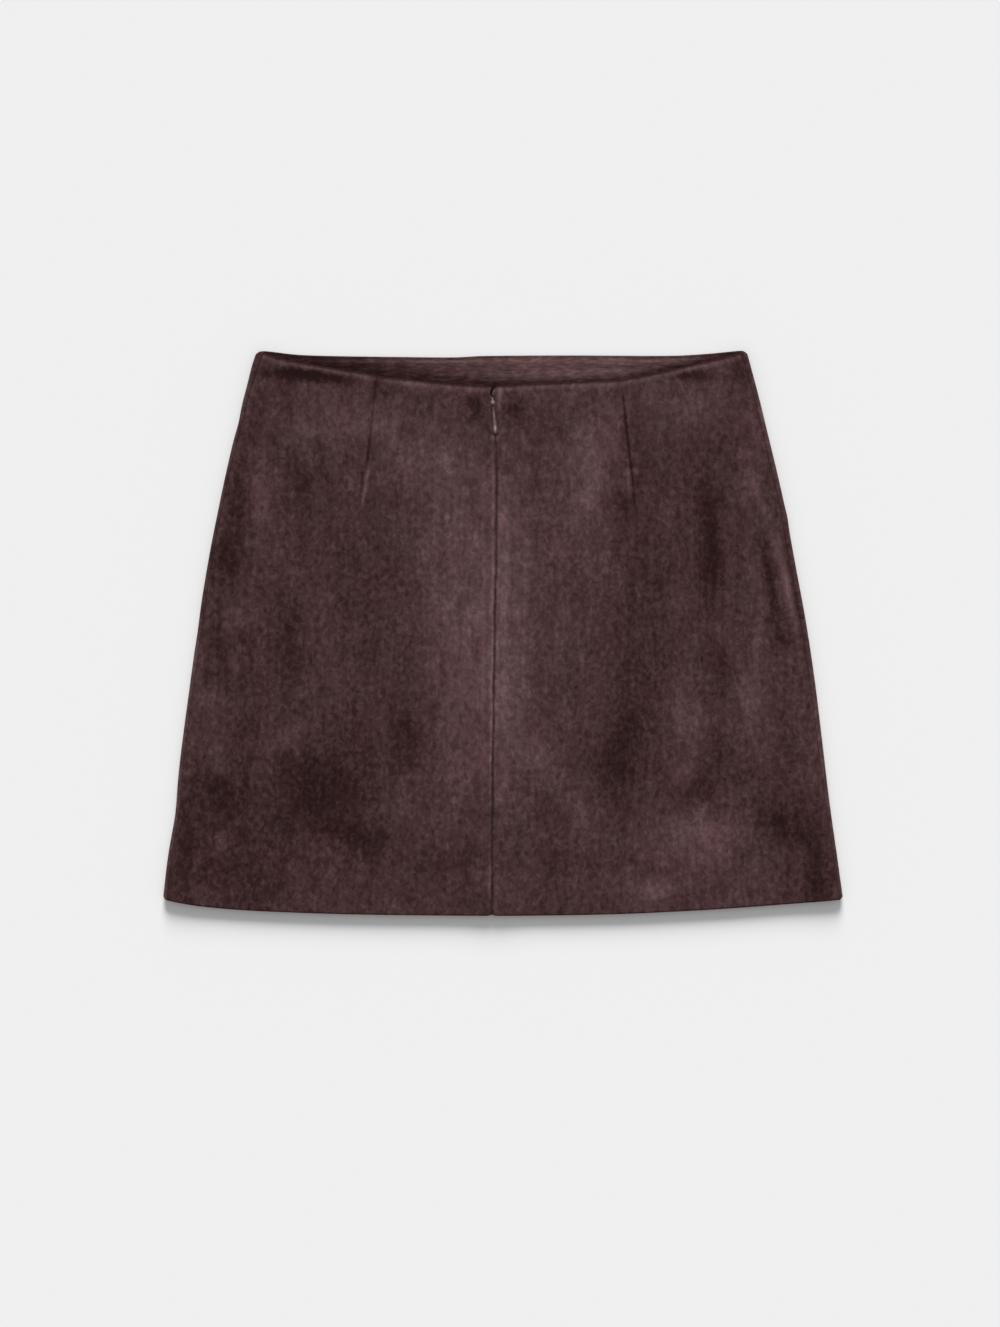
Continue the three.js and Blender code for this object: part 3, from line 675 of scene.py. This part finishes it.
def fold_section(below, side, edge, sign):
    """The front's wall at one row where it turns up round a side fold, from the seam to the underside."""
    radius = float(fold_radius(below))
    seam_in = float(read(SIDE_SEAMS, side, below)) - SEAM_GAP / 2
    flat = max(0.0, seam_in - radius)
    top_angle = math.acos(min(max(1 - seam_in / radius, 0), 1))
    total = flat + radius * (top_angle + math.pi / 2)
    gone = stations(0.0, total, edge_offsets(SUEDE / 2, (1.0, 1.5, 2.2)), [0.0], 0, FOLD_STEPS)
    angle = np.where(gone < flat, math.pi / 2, top_angle - (gone - flat) / radius)
    rolled = SEAM_ROLL["side"] * SEAM_ROLL["depth"] * bell(gone, SEAM_ROLL["width"])
    from_side = np.where(gone < flat, seam_in - gone, radius - radius * np.cos(angle))
    return {
        "x": edge - sign * (from_side + rolled * np.cos(angle)),
        "z": radius + (radius - rolled) * np.sin(angle),
        "nx": sign * np.cos(angle),
        "nz": np.sin(angle),
        "gone": gone,
    }


def front_sections(below_rows):
    """The front's section at each row, from the right side seam, along the underside, to the left one."""
    found = []
    for below in below_rows:
        left, right = float(left_side(below)), float(right_side(below))
        radius = float(fold_radius(below))
        first = fold_section(below, "right", right, 1)
        last = fold_section(below, "left", left, -1)
        steps = round((OUTLINE["right"][-1] - OUTLINE["left"][-1]) / UNDER_PITCH)
        flat_x = np.linspace(right - radius, left + radius, steps + 1)[1:-1]
        none = 0 * flat_x
        flat = {"x": flat_x, "z": none, "nx": none, "nz": none - 1, "gone": none + FAR}
        found.append([np.concatenate([first[k], flat[k], last[k][::-1]]) for k in first])
    return np.array(found).transpose(1, 0, 2)


def front_panel():
    """The front: its flat underside, and the strips that turn up round both sides to the side seams."""
    edge = edge_offsets(TURNED / 2, BESIDE_EDGE)
    rows = stations(0.0, SIDE_LENGTH, edge, edge, 1.3 * PITCH)
    x, z, nx, nz, gone = front_sections(rows)
    below = rows[:, None]
    wall = mix(SUEDE, TURNED, hem_share(below))
    rim = rounded(below, SUEDE / 2) * rounded(SIDE_LENGTH - below, TURNED / 2) * rounded(gone, SUEDE / 2)
    up = ease(z, 0, 2 * fold_radius(below))
    own = lengthwise(x, below, FRONT_WAIST, FRONT_HEM_SHARE)
    y = mix(own, back_y(x, below), up)
    from_side = from_sides(x, below)
    pressed = folds_at(UNDER_CREASES, x, y) * ease(from_side, 12, 30) * ease(below, 48, 70)
    pressed = pressed * ease(SIDE_LENGTH - below, 4, 30)

    def layer(depth):
        return np.stack([x - nx * depth, y, z - nz * depth + pressed], -1)

    outer, inner = layer(wall / 2 * (1 - rim)), layer(wall / 2 * (1 + rim))
    return shell(outer, inner)


def flat_sheet(x, y, middle, half, rim, raised=0.0):
    """A sheet about a middle height, with its outer side raised where it is creased."""
    outer = np.stack([x, y, middle + (half + raised) * rim], -1)
    return shell(outer, np.stack([x, y, middle - half * rim], -1))


def front_facing():
    """The facing inside the front waist, which shows above the back's waist edge."""
    edge = edge_offsets(FACING / 2, (0.9, 1.5))
    rows = stations(0.5, 40.0, edge, edge, 1.5)
    below = rows[:, None]
    inset = fold_radius(rows) + LAY_GAP
    x = stations(left_side(rows) + inset, right_side(rows) - inset, edge, edge, 2.4)
    y = lengthwise(x, below, FRONT_WAIST)
    rim_y = back_y(x, 0 * x)
    clear = ease(y, rim_y + 0.5, rim_y + 4)
    raised = folds_at(FACING_CREASES, x, y) * clear
    for mark in rows_of(FACING_MARKS):
        raised = raised - mark["depth"] * bell(x - mark["x"], mark["width"]) * clear
    rim = rounded_rim(below, x, FACING / 2)
    middle = 0 * x + SUEDE + LAY_GAP + FACING / 2
    return flat_sheet(x, y, middle, FACING / 2, rim, np.maximum(raised, -0.4))


def seam_stitches(place, start):
    """The thread that shows between the edges of a seam: short slanted stitches, each a little arched."""
    stitches = []
    along = np.linspace(-0.5, 0.5, 5)
    for middle in np.arange(start, SIDE_LENGTH - 2, STITCH["pitch"]):
        below = middle + along * STITCH["length"]
        x = place(below) + STITCH["slant"] * 2 * along
        z = surface_height(x, below) - STITCH["deep"] - STITCH["dip"] * (2 * along) ** 2
        path = np.stack([x, back_y(x, below), z], -1)
        stitches.append(rod(path, X_AXIS, Z_AXIS, STITCH["radius"], STITCH["radius"], sides=6))
    return joined(*stitches)


def all_stitches():
    def centre(below):
        return centre_seam(below) + wobble(below)

    sides = [seam_stitches(seam, STITCH["side_start"]) for seam in (left_seam, right_seam)]
    return joined(seam_stitches(centre, STITCH["centre_start"]), *sides)


def tape_top(x, below):
    return back_height(x, below) - SEAM_ROLL["depth"] - SUEDE - LAY_GAP


def zip_tape():
    """The zip's woven tape, which hangs under the two back panels."""
    edge = edge_offsets(ZIP["tape"] / 2, (0.6,))
    rows = stations(float(ZIP["start"]), float(ZIP["end"]), edge, edge, 2.0)
    below = rows[:, None]
    across = stations(-float(ZIP["half"]), float(ZIP["half"]), edge, edge, 0.9)[None, :]
    x = centre_seam(below) + across
    rim = rounded_rim(below, across, ZIP["tape"] / 2)
    half = ZIP["tape"] / 2
    return flat_sheet(x, back_y(x, below), tape_top(x, below) - half, half, rim)


def rod(path, first, second, half_first, half_second, closed=False, sides=16, power=1.0):
    """A rod along a path: rings that reach half_first along first and half_second along second."""
    count = len(path)
    first, second = np.broadcast_to(first, path.shape), np.broadcast_to(second, path.shape)
    turn = np.linspace(0, 2 * np.pi, sides, endpoint=False)
    cosine = np.sign(np.cos(turn)) * np.abs(np.cos(turn)) ** power
    sine = np.sign(np.sin(turn)) * np.abs(np.sin(turn)) ** power
    half_first = np.broadcast_to(np.asarray(half_first, float), count)[:, None, None]
    half_second = np.broadcast_to(np.asarray(half_second, float), count)[:, None, None]
    rings = path[:, None, :] + half_first * cosine[None, :, None] * first[:, None, :]
    rings = rings + half_second * sine[None, :, None] * second[:, None, :]
    points = rings.reshape(-1, 3)
    index = np.arange(count * sides).reshape(count, sides)
    if closed:
        index = np.concatenate([index, index[:1]])
    index = np.concatenate([index, index[:, :1]], axis=1)
    faces = quads(index).tolist()
    if not closed:
        faces.append(list(range(sides)))
        faces.append(list(range(count * sides - 1, (count - 1) * sides - 1, -1)))
    return points, faces


def joined(*meshes):
    points, faces, done = [], [], 0
    for some_points, some_faces in meshes:
        points.append(some_points)
        faces.extend([[done + i for i in face] for face in some_faces])
        done += len(some_points)
    return np.concatenate(points), faces


def zip_coil():
    """The two chains of the coil under the tape, wound through each other."""
    turns = (ZIP["end"] - ZIP["start"] - 4) / COIL["pitch"]
    angle = np.linspace(0, 2 * np.pi * turns, int(turns * COIL["turn_steps"]))
    below = ZIP["start"] + 2 + COIL["pitch"] * angle / (2 * np.pi)
    chains = []
    for sign in (-1, 1):
        around = angle + (0 if sign < 0 else np.pi)
        aside = sign * COIL["aside"] + COIL["across"] * np.cos(around)
        x = centre_seam(below) + aside
        height = tape_top(centre_seam(below), below) - ZIP["tape"] - 0.5 + COIL["high"] * np.sin(around)
        path = np.stack([x, back_y(x, below), height], -1)
        outward = np.stack([np.cos(around), 0 * around, np.sin(around)], -1)
        chains.append(rod(path, outward, Y_AXIS, COIL["wire"], COIL["wire"], sides=COIL["sides"]))
    return joined(*chains)


def corner_path(corners, radius, closed):
    """A path through corners, each one rounded, that lies in the plane of the corners."""
    steps = np.linspace(0, 1, 9)
    count = len(corners)
    points = []
    for i, corner in enumerate(corners):
        if not closed and i in (0, count - 1):
            points.append(corner)
            continue
        before, after = corners[i - 1] - corner, corners[(i + 1) % count] - corner
        start = corner + radius * before / np.linalg.norm(before)
        end = corner + radius * after / np.linalg.norm(after)
        for t in steps:
            points.append((1 - t) ** 2 * start + 2 * t * (1 - t) * corner + t**2 * end)
    return np.array(points)


def sideways(path, normal, closed):
    """At each point of a path in a plane, the direction across it within the plane."""
    if closed:
        run = np.roll(path, -1, axis=0) - np.roll(path, 1, axis=0)
    else:
        run = np.gradient(path, axis=0)
    run = run / np.linalg.norm(run, axis=1, keepdims=True)
    return np.cross(run, normal)


def slider_body(top):
    """The slider's rounded body, under the panels."""
    half = np.array([SLIDER["width"] / 2, SLIDER["length"] / 2, 1.0])
    corners = [half * (sx, sy, 0) for sx, sy in ((-1, -1), (1, -1), (1, 1), (-1, 1))]
    outline = corner_path(corners, SLIDER["corner"], closed=True)
    bevel, height = SLIDER["bevel"], SLIDER["height"]
    low_rings = [(rise * bevel, inset * bevel) for rise, inset in BEVEL]
    high_rings = [(height - rise, inset) for rise, inset in reversed(low_rings)]
    points = []
    for rise, inset in low_rings + high_rings:
        points.append(outline * (1 - inset / half) + (0, 0, top - height + rise))
    count, sides = len(points), len(outline)
    index = np.arange(count * sides).reshape(count, sides)
    index = np.concatenate([index, index[:, :1]], axis=1)
    faces = quads(index)[:, [0, 3, 2, 1]].tolist()
    faces.append(list(range(sides))[::-1])
    faces.append(list(range((count - 1) * sides, count * sides)))
    return np.concatenate(points), faces


def zip_slider():
    """The slider in its own frame, with the pull's axis at the origin: a body and the bail over it."""
    body_top = -BAIL["above"] - SUEDE - SLIDER["under"]
    half, top, foot = BAIL["half_length"], BAIL["top"], body_top - 0.4
    corners = np.array(((0, -half, foot), (0, -half, top), (0, half, top), (0, half, foot)))
    path = corner_path(corners, BAIL["corner"], closed=False)
    up = sideways(path, X_AXIS, closed=False)
    bail = rod(path, X_AXIS, up, BAIL["half_wide"], BAIL["half_thick"], sides=20, power=0.8)
    return joined(slider_body(body_top), bail)


def zip_pull():
    """The pull in its own frame: a wire eye round the bail, and a blade that swells to a rounded end."""
    half, low = PULL["eye_half"], -PULL["eye_length"]
    corners = np.array(((-half, 0, 0), (half, 0, 0), (half, low, 0), (-half, low, 0)))
    path = corner_path(corners, PULL["eye_corner"], closed=True)
    across = sideways(path, Z_AXIS, closed=True)
    eye = rod(path, across, Z_AXIS, PULL["wire"], PULL["wire"], closed=True)
    start, end = BLADE["along"][0], BLADE["along"][-1]
    along = np.concatenate([np.linspace(start, end - 2, 30)[:-1], end - 2 * np.linspace(1, 0.004, 14) ** 2])
    blade_path = np.stack([0 * along, -along, 0 * along], -1)
    wide = np.maximum(read(BLADE, "half", along), 0.02)
    thick = np.maximum(read(BLADE, "thick", along), 0.02)
    blade = rod(blade_path, X_AXIS, Z_AXIS, wide, thick, sides=24, power=1.15)
    return joined(eye, blade)


def worn_pull(points):
    """The painted highlight on the pull: strongest along its ridge and near its end, hardly any at its
    edges.
    """
    x, y, z = points.T
    worn = np.zeros(len(points))
    for spot in rows_of(PULL_HIGHLIGHTS):
        worn += spot["much"] * bell(-y - spot["along"], spot["length"]) * bell(x, spot["half"])
    return worn * ease(z, -0.2, 0.2)


def worn_slider(points):
    """The painted highlight on the slider, on the crown of its bail."""
    x, y, z = points.T
    return 1.5 * bell(y + 0.6, 1.7) * bell(x, 0.9) * ease(z, 0.5, 1.0)


def pivot():
    """The pull's axis in the garment's frame: its place, and how far the pull tilts to rest on the cloth."""
    below = SLIDER["pivot"]
    x = float(centre_seam(below))
    y = float(back_y(x, below))
    plain = float(solid_height(x, below))
    z = plain + BAIL["above"]
    tip = float(solid_height(x, below + PULL["length"])) + LAY_GAP
    tilt = math.atan2(z - PULL["thick"] / 2 - tip, PULL["length"])
    return Vector((x, y, z)), tilt


def solid_height(x, below):
    """The back's height without its smaller creases, as the slider was placed."""
    y = back_y(x, below)
    return back_height(x, below) - folds_at(CREASES, x, y)


def placed(mesh, tilt=0.0):
    """Points from the slider's frame, moved to the zip's mouth and leaning as the seam does there."""
    points, faces = mesh
    place, _ = pivot()
    turn = Matrix.Rotation(math.radians(SLIDER["lean"]), 3, "Z") @ Matrix.Rotation(tilt, 3, "X")
    return points @ np.array(turn).T + np.array(place), faces


def nap_at(points):
    """How light the nap lies at points of the cloth, with the light and shade painted over its folds, its
    rim and the zip's mouth.
    """
    x, y, z = points.T
    total = np.zeros(len(points))
    for patch in rows_of(NAP_AND_SHADE):
        along, aside = in_frame_of(patch, x, y)
        total += patch["light"] * bell(along, patch["length"]) * bell(aside, patch["width"])
    return total


def below_of(x, y):
    """How far down the side the row of a point of the back lies."""
    below = CORNER_Y - y
    for _ in range(6):
        below = below + (back_y(x, below) - y)
    return np.clip(below, 0, SIDE_LENGTH)


def painted_lines_at(points):
    """Painted highlights and painted shade: thin lines beside the centre seam and on the darts, and bands
    along the waist's rim.
    """
    x, y, z = points.T
    below = below_of(x, y)
    x = x - wobble(below)
    total = np.zeros(len(points))
    line_strength = 1 + sum(knot["much"] * np.sin(2 * np.pi * below / knot["wave"]) for knot in rows_of(SEAM_LIGHT_WAVES))
    for line in rows_of(SEAM_PAINTED_LIGHT):
        fade = ease(below, line["start"], line["start"] + 20)
        if line["end"] < SIDE_LENGTH - 1:
            fade = fade * (1 - ease(below, line["end"] - 30, line["end"]))
        place = centre_seam(below) + mix(line["top"], line["bottom"], below / SIDE_LENGTH)
        total += line["light"] * fade * line_strength * bell(x - place, line["width"])
    for line in rows_of(DART_PAINTED_LIGHT):
        dart = DARTS["left" if line["left"] else "right"]
        start, end = line["start"], line["end"]
        fade = ease(below, start - 3, start + 3) * (1 - ease(below, end - 6, end))
        share = np.clip((below - start) / (end - start), 0, 1)
        aside = mix(line["top"], line["bottom"], share)
        total += line["light"] * fade * bell(x - dart_x(dart, below) - aside, line["width"])
    for band in rows_of(RIM_PAINTED_LIGHT):
        total += band["light"] * bell(below - band["below"], band["width"])
    return total


def scene_object(name, data):
    made = bpy.data.objects.new(name, data)
    bpy.context.scene.collection.objects.link(made)
    return made


def mesh_object(name, mesh, material, **attributes):
    """An object in metres, with its attributes' values at each of the mesh's points."""
    points, faces = mesh
    data = bpy.data.meshes.new(name)
    data.from_pydata((points * MM).tolist(), [], [list(face) for face in faces])
    data.update()
    data.shade_smooth()
    data.materials.append(material)
    for key, values in attributes.items():
        attribute = data.attributes.new(key, "FLOAT", "POINT")
        attribute.data.foreach_set("value", np.asarray(values, np.float32))
    return scene_object(name, data)


class Nodes:
    """A material's node tree, with short ways to add nodes to it and to link them."""

    def __init__(self, name):
        self.material = bpy.data.materials.new(name)
        self.material.use_nodes = True
        self.tree = self.material.node_tree
        self.shader = self.tree.nodes["Principled BSDF"]

    def add(self, kind, inputs=None, **settings):
        node = self.tree.nodes.new(kind)
        for key, value in settings.items():
            setattr(node, key, value)
        for key, value in (inputs or {}).items():
            self.set(node.inputs[key], value)
        return node

    def set(self, socket, value):
        if isinstance(value, bpy.types.NodeSocket):
            self.tree.links.new(value, socket)
        else:
            socket.default_value = value

    def math(self, operation, *values):
        node = self.add("ShaderNodeMath", operation=operation)
        for i, value in enumerate(values):
            self.set(node.inputs[i], value)
        return node.outputs[0]

    def place(self, scale, turn=0.0):
        """Coordinates in the part's own frame, scaled to a count for each metre along each axis."""
        coordinates = self.add("ShaderNodeTexCoord").outputs["Object"]
        inputs = {"Vector": coordinates, "Scale": scale, "Rotation": (0, 0, turn)}
        return self.add("ShaderNodeMapping", inputs).outputs["Vector"]

    def noise(self, scale, detail=2.0, roughness=0.5, distortion=0.0, turn=0.0):
        """Noise from -0.5 to 0.5, with features of about 1 m divided by each scale."""
        inputs = {
            "Vector": self.place(scale, turn),
            "Scale": 1.0,
            "Detail": detail,
            "Roughness": roughness,
            "Distortion": distortion,
        }
        node = self.add("ShaderNodeTexNoise", inputs)
        return self.math("SUBTRACT", node.outputs["Fac"], 0.5)

    def wave(self, count, turn=0.0, **inputs):
        """Parallel bands, from 0 to 1."""
        inputs["Vector"] = self.place((count, count, count), turn)
        return self.add("ShaderNodeTexWave", inputs).outputs["Fac"]

    def total(self, start, *terms):
        """start plus each term's value times its weight."""
        found = start
        for value, weight in terms:
            found = self.math("MULTIPLY_ADD", value, weight, found)
        return found

    def ramp(self, at, *stops):
        node = self.add("ShaderNodeValToRGB", {"Fac": at})
        elements = node.color_ramp.elements
        while len(elements) < len(stops):
            elements.new(0.5)
        for element, (position, color) in zip(elements, stops):
            element.position = position
            element.color = (*linear(color), 1)
        return node.outputs["Color"]

    def bump(self, height, strength, distance):
        inputs = {"Height": height, "Strength": strength, "Distance": distance}
        return self.add("ShaderNodeBump", inputs).outputs["Normal"]

    def finish(self, **values):
        for key, value in values.items():
            self.set(self.shader.inputs[key.replace("_", " ")], value)
        return self.material


def linear(color):
    """A colour in sRGB, 0 to 255, as linear light."""
    shares = np.array(color, float) / 255
    return np.where(shares <= 0.04045, shares / 12.92, ((shares + 0.055) / 1.055) ** 2.4)


def suede_material(name, along, lift):
    """Brushed suede: patches where its nap lies light or dark, with the painted light and shade that its
    attribute carries, streaks, a soft mottle and fibres.
    """
    n = Nodes(name)
    # The attribute holds the nap's own tone together with painted light and shade over folds, seams, darts,
    # the waist's rim and the zip's mouth
    nap = n.add("ShaderNodeAttribute", attribute_name="nap").outputs["Fac"]
    streak_scale = (420, 70, 420) if along == "y" else (50, 760, 420)
    long_scale = (210, 26, 210) if along == "y" else (20, 420, 210)
    mottle_scale = (300, 232, 300) if along == "y" else (150, 520, 430)
    cloud = n.noise((34, 20, 30), detail=3.0, roughness=0.55, distortion=0.6)
    patches = n.noise((80, 58, 80), detail=4.0, roughness=0.6, distortion=0.8)
    long_streaks = n.noise(long_scale, detail=2.0, roughness=0.5)
    streaks = n.noise(streak_scale, detail=2.0, roughness=0.55, distortion=0.3)
    mottle = n.noise(mottle_scale, detail=2.6, roughness=0.5, distortion=0.6)
    fibres = n.noise((1700, 1500, 1700), detail=2.0, roughness=0.6)
    rubbed = n.math("MULTIPLY", n.total(0.88, (nap, -0.3)), mottle)
    light = n.total(
        0.44 + lift,
        (nap, 0.46),
        (cloud, 0.14),
        (patches, 0.52),
        (long_streaks, 0.3),
        (streaks, 0.16),
        (rubbed, 1.0),
        (fibres, 0.14),
    )
    color = n.ramp(
        light,
        (0.0, (38, 23, 23)),
        (0.25, (53, 35, 36)),
        (0.5, (71, 51, 52.5)),
        (0.75, (90.5, 68.5, 70)),
        (1.0, (114, 91, 93)),
    )
    hue = n.noise((30, 25, 30), detail=3.0, roughness=0.6)
    tint = n.ramp(n.total(0.5, (hue, 1.5)), (0.0, (255, 240, 244)), (1.0, (246, 255, 246)))
    mixed = {"Factor": 1.0, "A": color, "B": tint}
    color = n.add("ShaderNodeMix", mixed, data_type="RGBA", blend_type="MULTIPLY")
    height = n.total(0.0, (mottle, 1.0), (fibres, 0.5), (streaks, 0.4))
    rough = n.total(0.9, (mottle, -0.25))
    return n.finish(
        Base_Color=color.outputs["Result"],
        Roughness=rough,
        Normal=n.bump(height, 0.42, 0.0005),
        Specular_IOR_Level=0.0,
        Sheen_Weight=0.2,
        Sheen_Roughness=0.5,
        Sheen_Tint=(0.5, 0.3, 0.3, 1),
    )


def tape_material(name):
    """A close twill of dark polyester yarns, with ribs along it."""
    n = Nodes(name)
    twill = n.wave(1400, turn=0.9, Scale=0.3, Distortion=0.6, Detail=1.0)
    ribs = n.wave(900, Scale=0.35, Distortion=0.3)
    grain = n.noise((900, 500, 900), detail=2.0)
    light = n.total(0.1, (twill, 0.45), (ribs, 0.25), (grain, 0.4))
    color = n.ramp(light, (0.0, (26, 17, 18)), (0.6, (48, 34, 35)), (1.0, (68, 50, 51)))
    height = n.total(0.0, (twill, 0.7), (ribs, 0.3))
    return n.finish(
        Base_Color=color,
        Roughness=n.total(0.75, (grain, 0.3)),
        Normal=n.bump(height, 0.5, 0.0003),
        Specular_IOR_Level=0.3,
    )


def thread_material(name):
    """Twisted polyester sewing thread."""
    n = Nodes(name)
    ply = n.wave(2600, turn=0.7, Scale=0.5, Distortion=0.4)
    grain = n.noise((2000, 900, 2000), detail=2.0)
    color = n.ramp(n.total(0.2, (ply, 0.6), (grain, 0.5)), (0.0, (28, 14, 15)), (1.0, (62, 38, 40)))
    return n.finish(
        Base_Color=color,
        Roughness=n.total(0.6, (grain, 0.3)),
        Normal=n.bump(ply, 0.4, 0.00005),
        Specular_IOR_Level=0.3,
    )


def coil_material(name):
    """Dull monofilament, paler where it rubs."""
    n = Nodes(name)
    grain = n.noise((1500, 1500, 1500), detail=2.0)
    wear = n.noise((60, 40, 60), detail=2.0)
    color = n.ramp(n.total(0.5, (grain, 0.5), (wear, 0.8)), (0.0, (30, 20, 21)), (1.0, (62, 46, 47)))
    rough = n.total(0.42, (grain, 0.3))
    return n.finish(Base_Color=color, Roughness=rough, Normal=n.bump(grain, 0.2, 0.0001))


def metal_material(name):
    """Brown lacquered metal with fine scratches, painted pale along its high places where highlights fall,
    and more metallic and glossier there.
    """
    n = Nodes(name)
    scratch = n.noise((3000, 300, 3000), detail=2.0)
    wear = n.noise((500, 350, 500), detail=3.0, roughness=0.6)
    # The attribute is the painted highlight: it makes the colour pale, and the metal more metallic and
    # glossier, where highlights fall
    worn = n.add("ShaderNodeAttribute", attribute_name="worn").outputs["Fac"]
    light = n.total(0.2, (worn, 0.75), (scratch, 0.35), (wear, 0.4))
    dark, brown, pale, highlight_colour = (58, 40, 40), (88, 66, 66), (160, 134, 132), (208, 186, 184)
    color = n.ramp(light, (0.0, dark), (0.3, brown), (0.65, pale), (1.0, highlight_colour))
    return n.finish(
        Base_Color=color,
        Metallic=n.total(0.3, (worn, 0.6)),
        Roughness=n.total(0.48, (worn, -0.12), (scratch, 0.2), (wear, 0.15)),
        Normal=n.bump(scratch, 0.15, 0.00005),
        Coat_Weight=0.12,
        Coat_Roughness=0.25,
    )


def floor_material(name):
    n = Nodes(name)
    return n.finish(Base_Color=(*linear((238, 238, 238)), 1), Roughness=1.0, Specular_IOR_Level=0.0)


def add_camera():
    """Straight above the skirt, with the waist at the top of the picture."""
    lens, sensor = 100.0, 36.0
    view_height, middle, cloth_height = 972.0, (-2.2, -22.3), 6.0
    camera = bpy.data.cameras.new("camera")
    camera.lens, camera.sensor_width = lens, sensor
    made = scene_object("camera", camera)
    made.location = Vector((*middle, cloth_height + view_height * lens / sensor)) * MM
    bpy.context.scene.camera = made


def add_light():
    """A wide soft light from the waist's side, low enough to shade the floor just below the hem."""
    sun = bpy.data.lights.new("window", "SUN")
    sun.energy = 4.8
    sun.angle = math.radians(26)
    scene_object("window", sun).rotation_euler = Euler((math.radians(-67.5), 0, 0))
    world = bpy.data.worlds.new("studio")
    world.use_nodes = True
    background = world.node_tree.nodes["Background"]
    background.inputs["Color"].default_value = (1, 1, 1, 1)
    background.inputs["Strength"].default_value = 0.43
    bpy.context.scene.world = world


def add_floor():
    size, drop = 15000.0, 0.25
    corners = [(-size, -size, -drop), (size, -size, -drop), (size, size, -drop), (-size, size, -drop)]
    floor = mesh_object("floor", (np.array(corners), [[0, 1, 2, 3]]), floor_material("pale_floor"))


def cloth(name, mesh, material, node, nap):
    made = mesh_object(name, mesh, material, nap=nap)
    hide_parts(node)
    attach(made, "skirt")
    return made


def facing_nap(points):
    """The facing's tone: painted shade under the back's rim, beside the zip's mouth and along its own top
    edge, with a lighter band just below that edge; lighter to the right of the zip and darker at its left
    end.
    """
    x, y, z = points.T
    rim_gap = y - back_y(x, 0 * x)
    top_gap = lengthwise(x, 0 * x, FRONT_WAIST) - y
    # Painted shade under the back's rim, and beside the zip's mouth
    rim_shadow = -0.9 * bell(np.maximum(rim_gap - 1, 0), mix(7, 2.5, ease(x, -60, 40)))
    zip_mouth_shade = -0.9 * bell(x - float(centre_seam(0)), 6) * (1 - ease(rim_gap, 0, 3))
    # Painted shade along the facing's top edge, and a lighter band just below it
    top = -0.4 * bell(top_gap - 1.2, 0.9) + 0.3 * bell(top_gap - 3.2, 1.3)
    sides = 0.35 * ease(x, -20, 30) * (1 - ease(x, 88, 112)) - 0.35 * (1 - ease(x, -110, -40))
    return rim_shadow + zip_mouth_shade + top + sides


def add_cloth():
    suede = suede_material("suede", "y", 0.0)
    facing_suede = suede_material("suede_facing", "x", 0.14)
    left, right, front, facing = back_left(), back_right(), front_panel(), front_facing()
    # The nap's own tone plus painted light and shade over the back's folds, beside its seams and darts, at
    # its waist rim and at the zip's mouth
    back_nap = [nap_at(mesh[0]) + painted_lines_at(mesh[0]) for mesh in (left, right)]
    made_left = cloth("back_left_cloth", left, suede, "back_left_panel", back_nap[0])
    made_right = cloth("back_right_cloth", right, suede, "back_right_panel", back_nap[1])
    x, y, z = front[0].T
    # Painted light on the front where its side folds show: a little on the right, more on the left towards
    # the hem
    side_fold_light = np.where(x < 0, 0.35 * ease(-y, -25, 30), 0.15)
    made_front = cloth("front_cloth", front, suede, "front_panel", nap_at(front[0]) + side_fold_light)
    shade = facing_nap(facing[0])
    made_facing = cloth("facing_cloth", facing, facing_suede, "front_facing", shade)
    thread = mesh_object("seam_stitches", all_stitches(), thread_material("thread"))
    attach(thread, "skirt")


def add_zip():
    metal = metal_material("zip_metal")
    tape = mesh_object("zip_tape_woven", zip_tape(), tape_material("zip_tape"))
    coil = mesh_object("zip_coil", zip_coil(), coil_material("zip_coil"))
    slider_mesh, pull_mesh = zip_slider(), zip_pull()
    slider = mesh_object("zip_slider_metal", placed(slider_mesh), metal, worn=worn_slider(slider_mesh[0]))
    pull = mesh_object("zip_pull_metal", placed(pull_mesh, pivot()[1]), metal, worn=worn_pull(pull_mesh[0]))
    for made, node in ((tape, "zip_tape"), (slider, "zip_slider"), (pull, "zip_pull")):
        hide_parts(node)
    for made in (tape, coil, slider):
        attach(made, "skirt")
    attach(pull, "pull")


bpy.context.scene.view_settings.view_transform = "Standard"
add_camera()
add_light()
add_floor()
add_cloth()
add_zip()
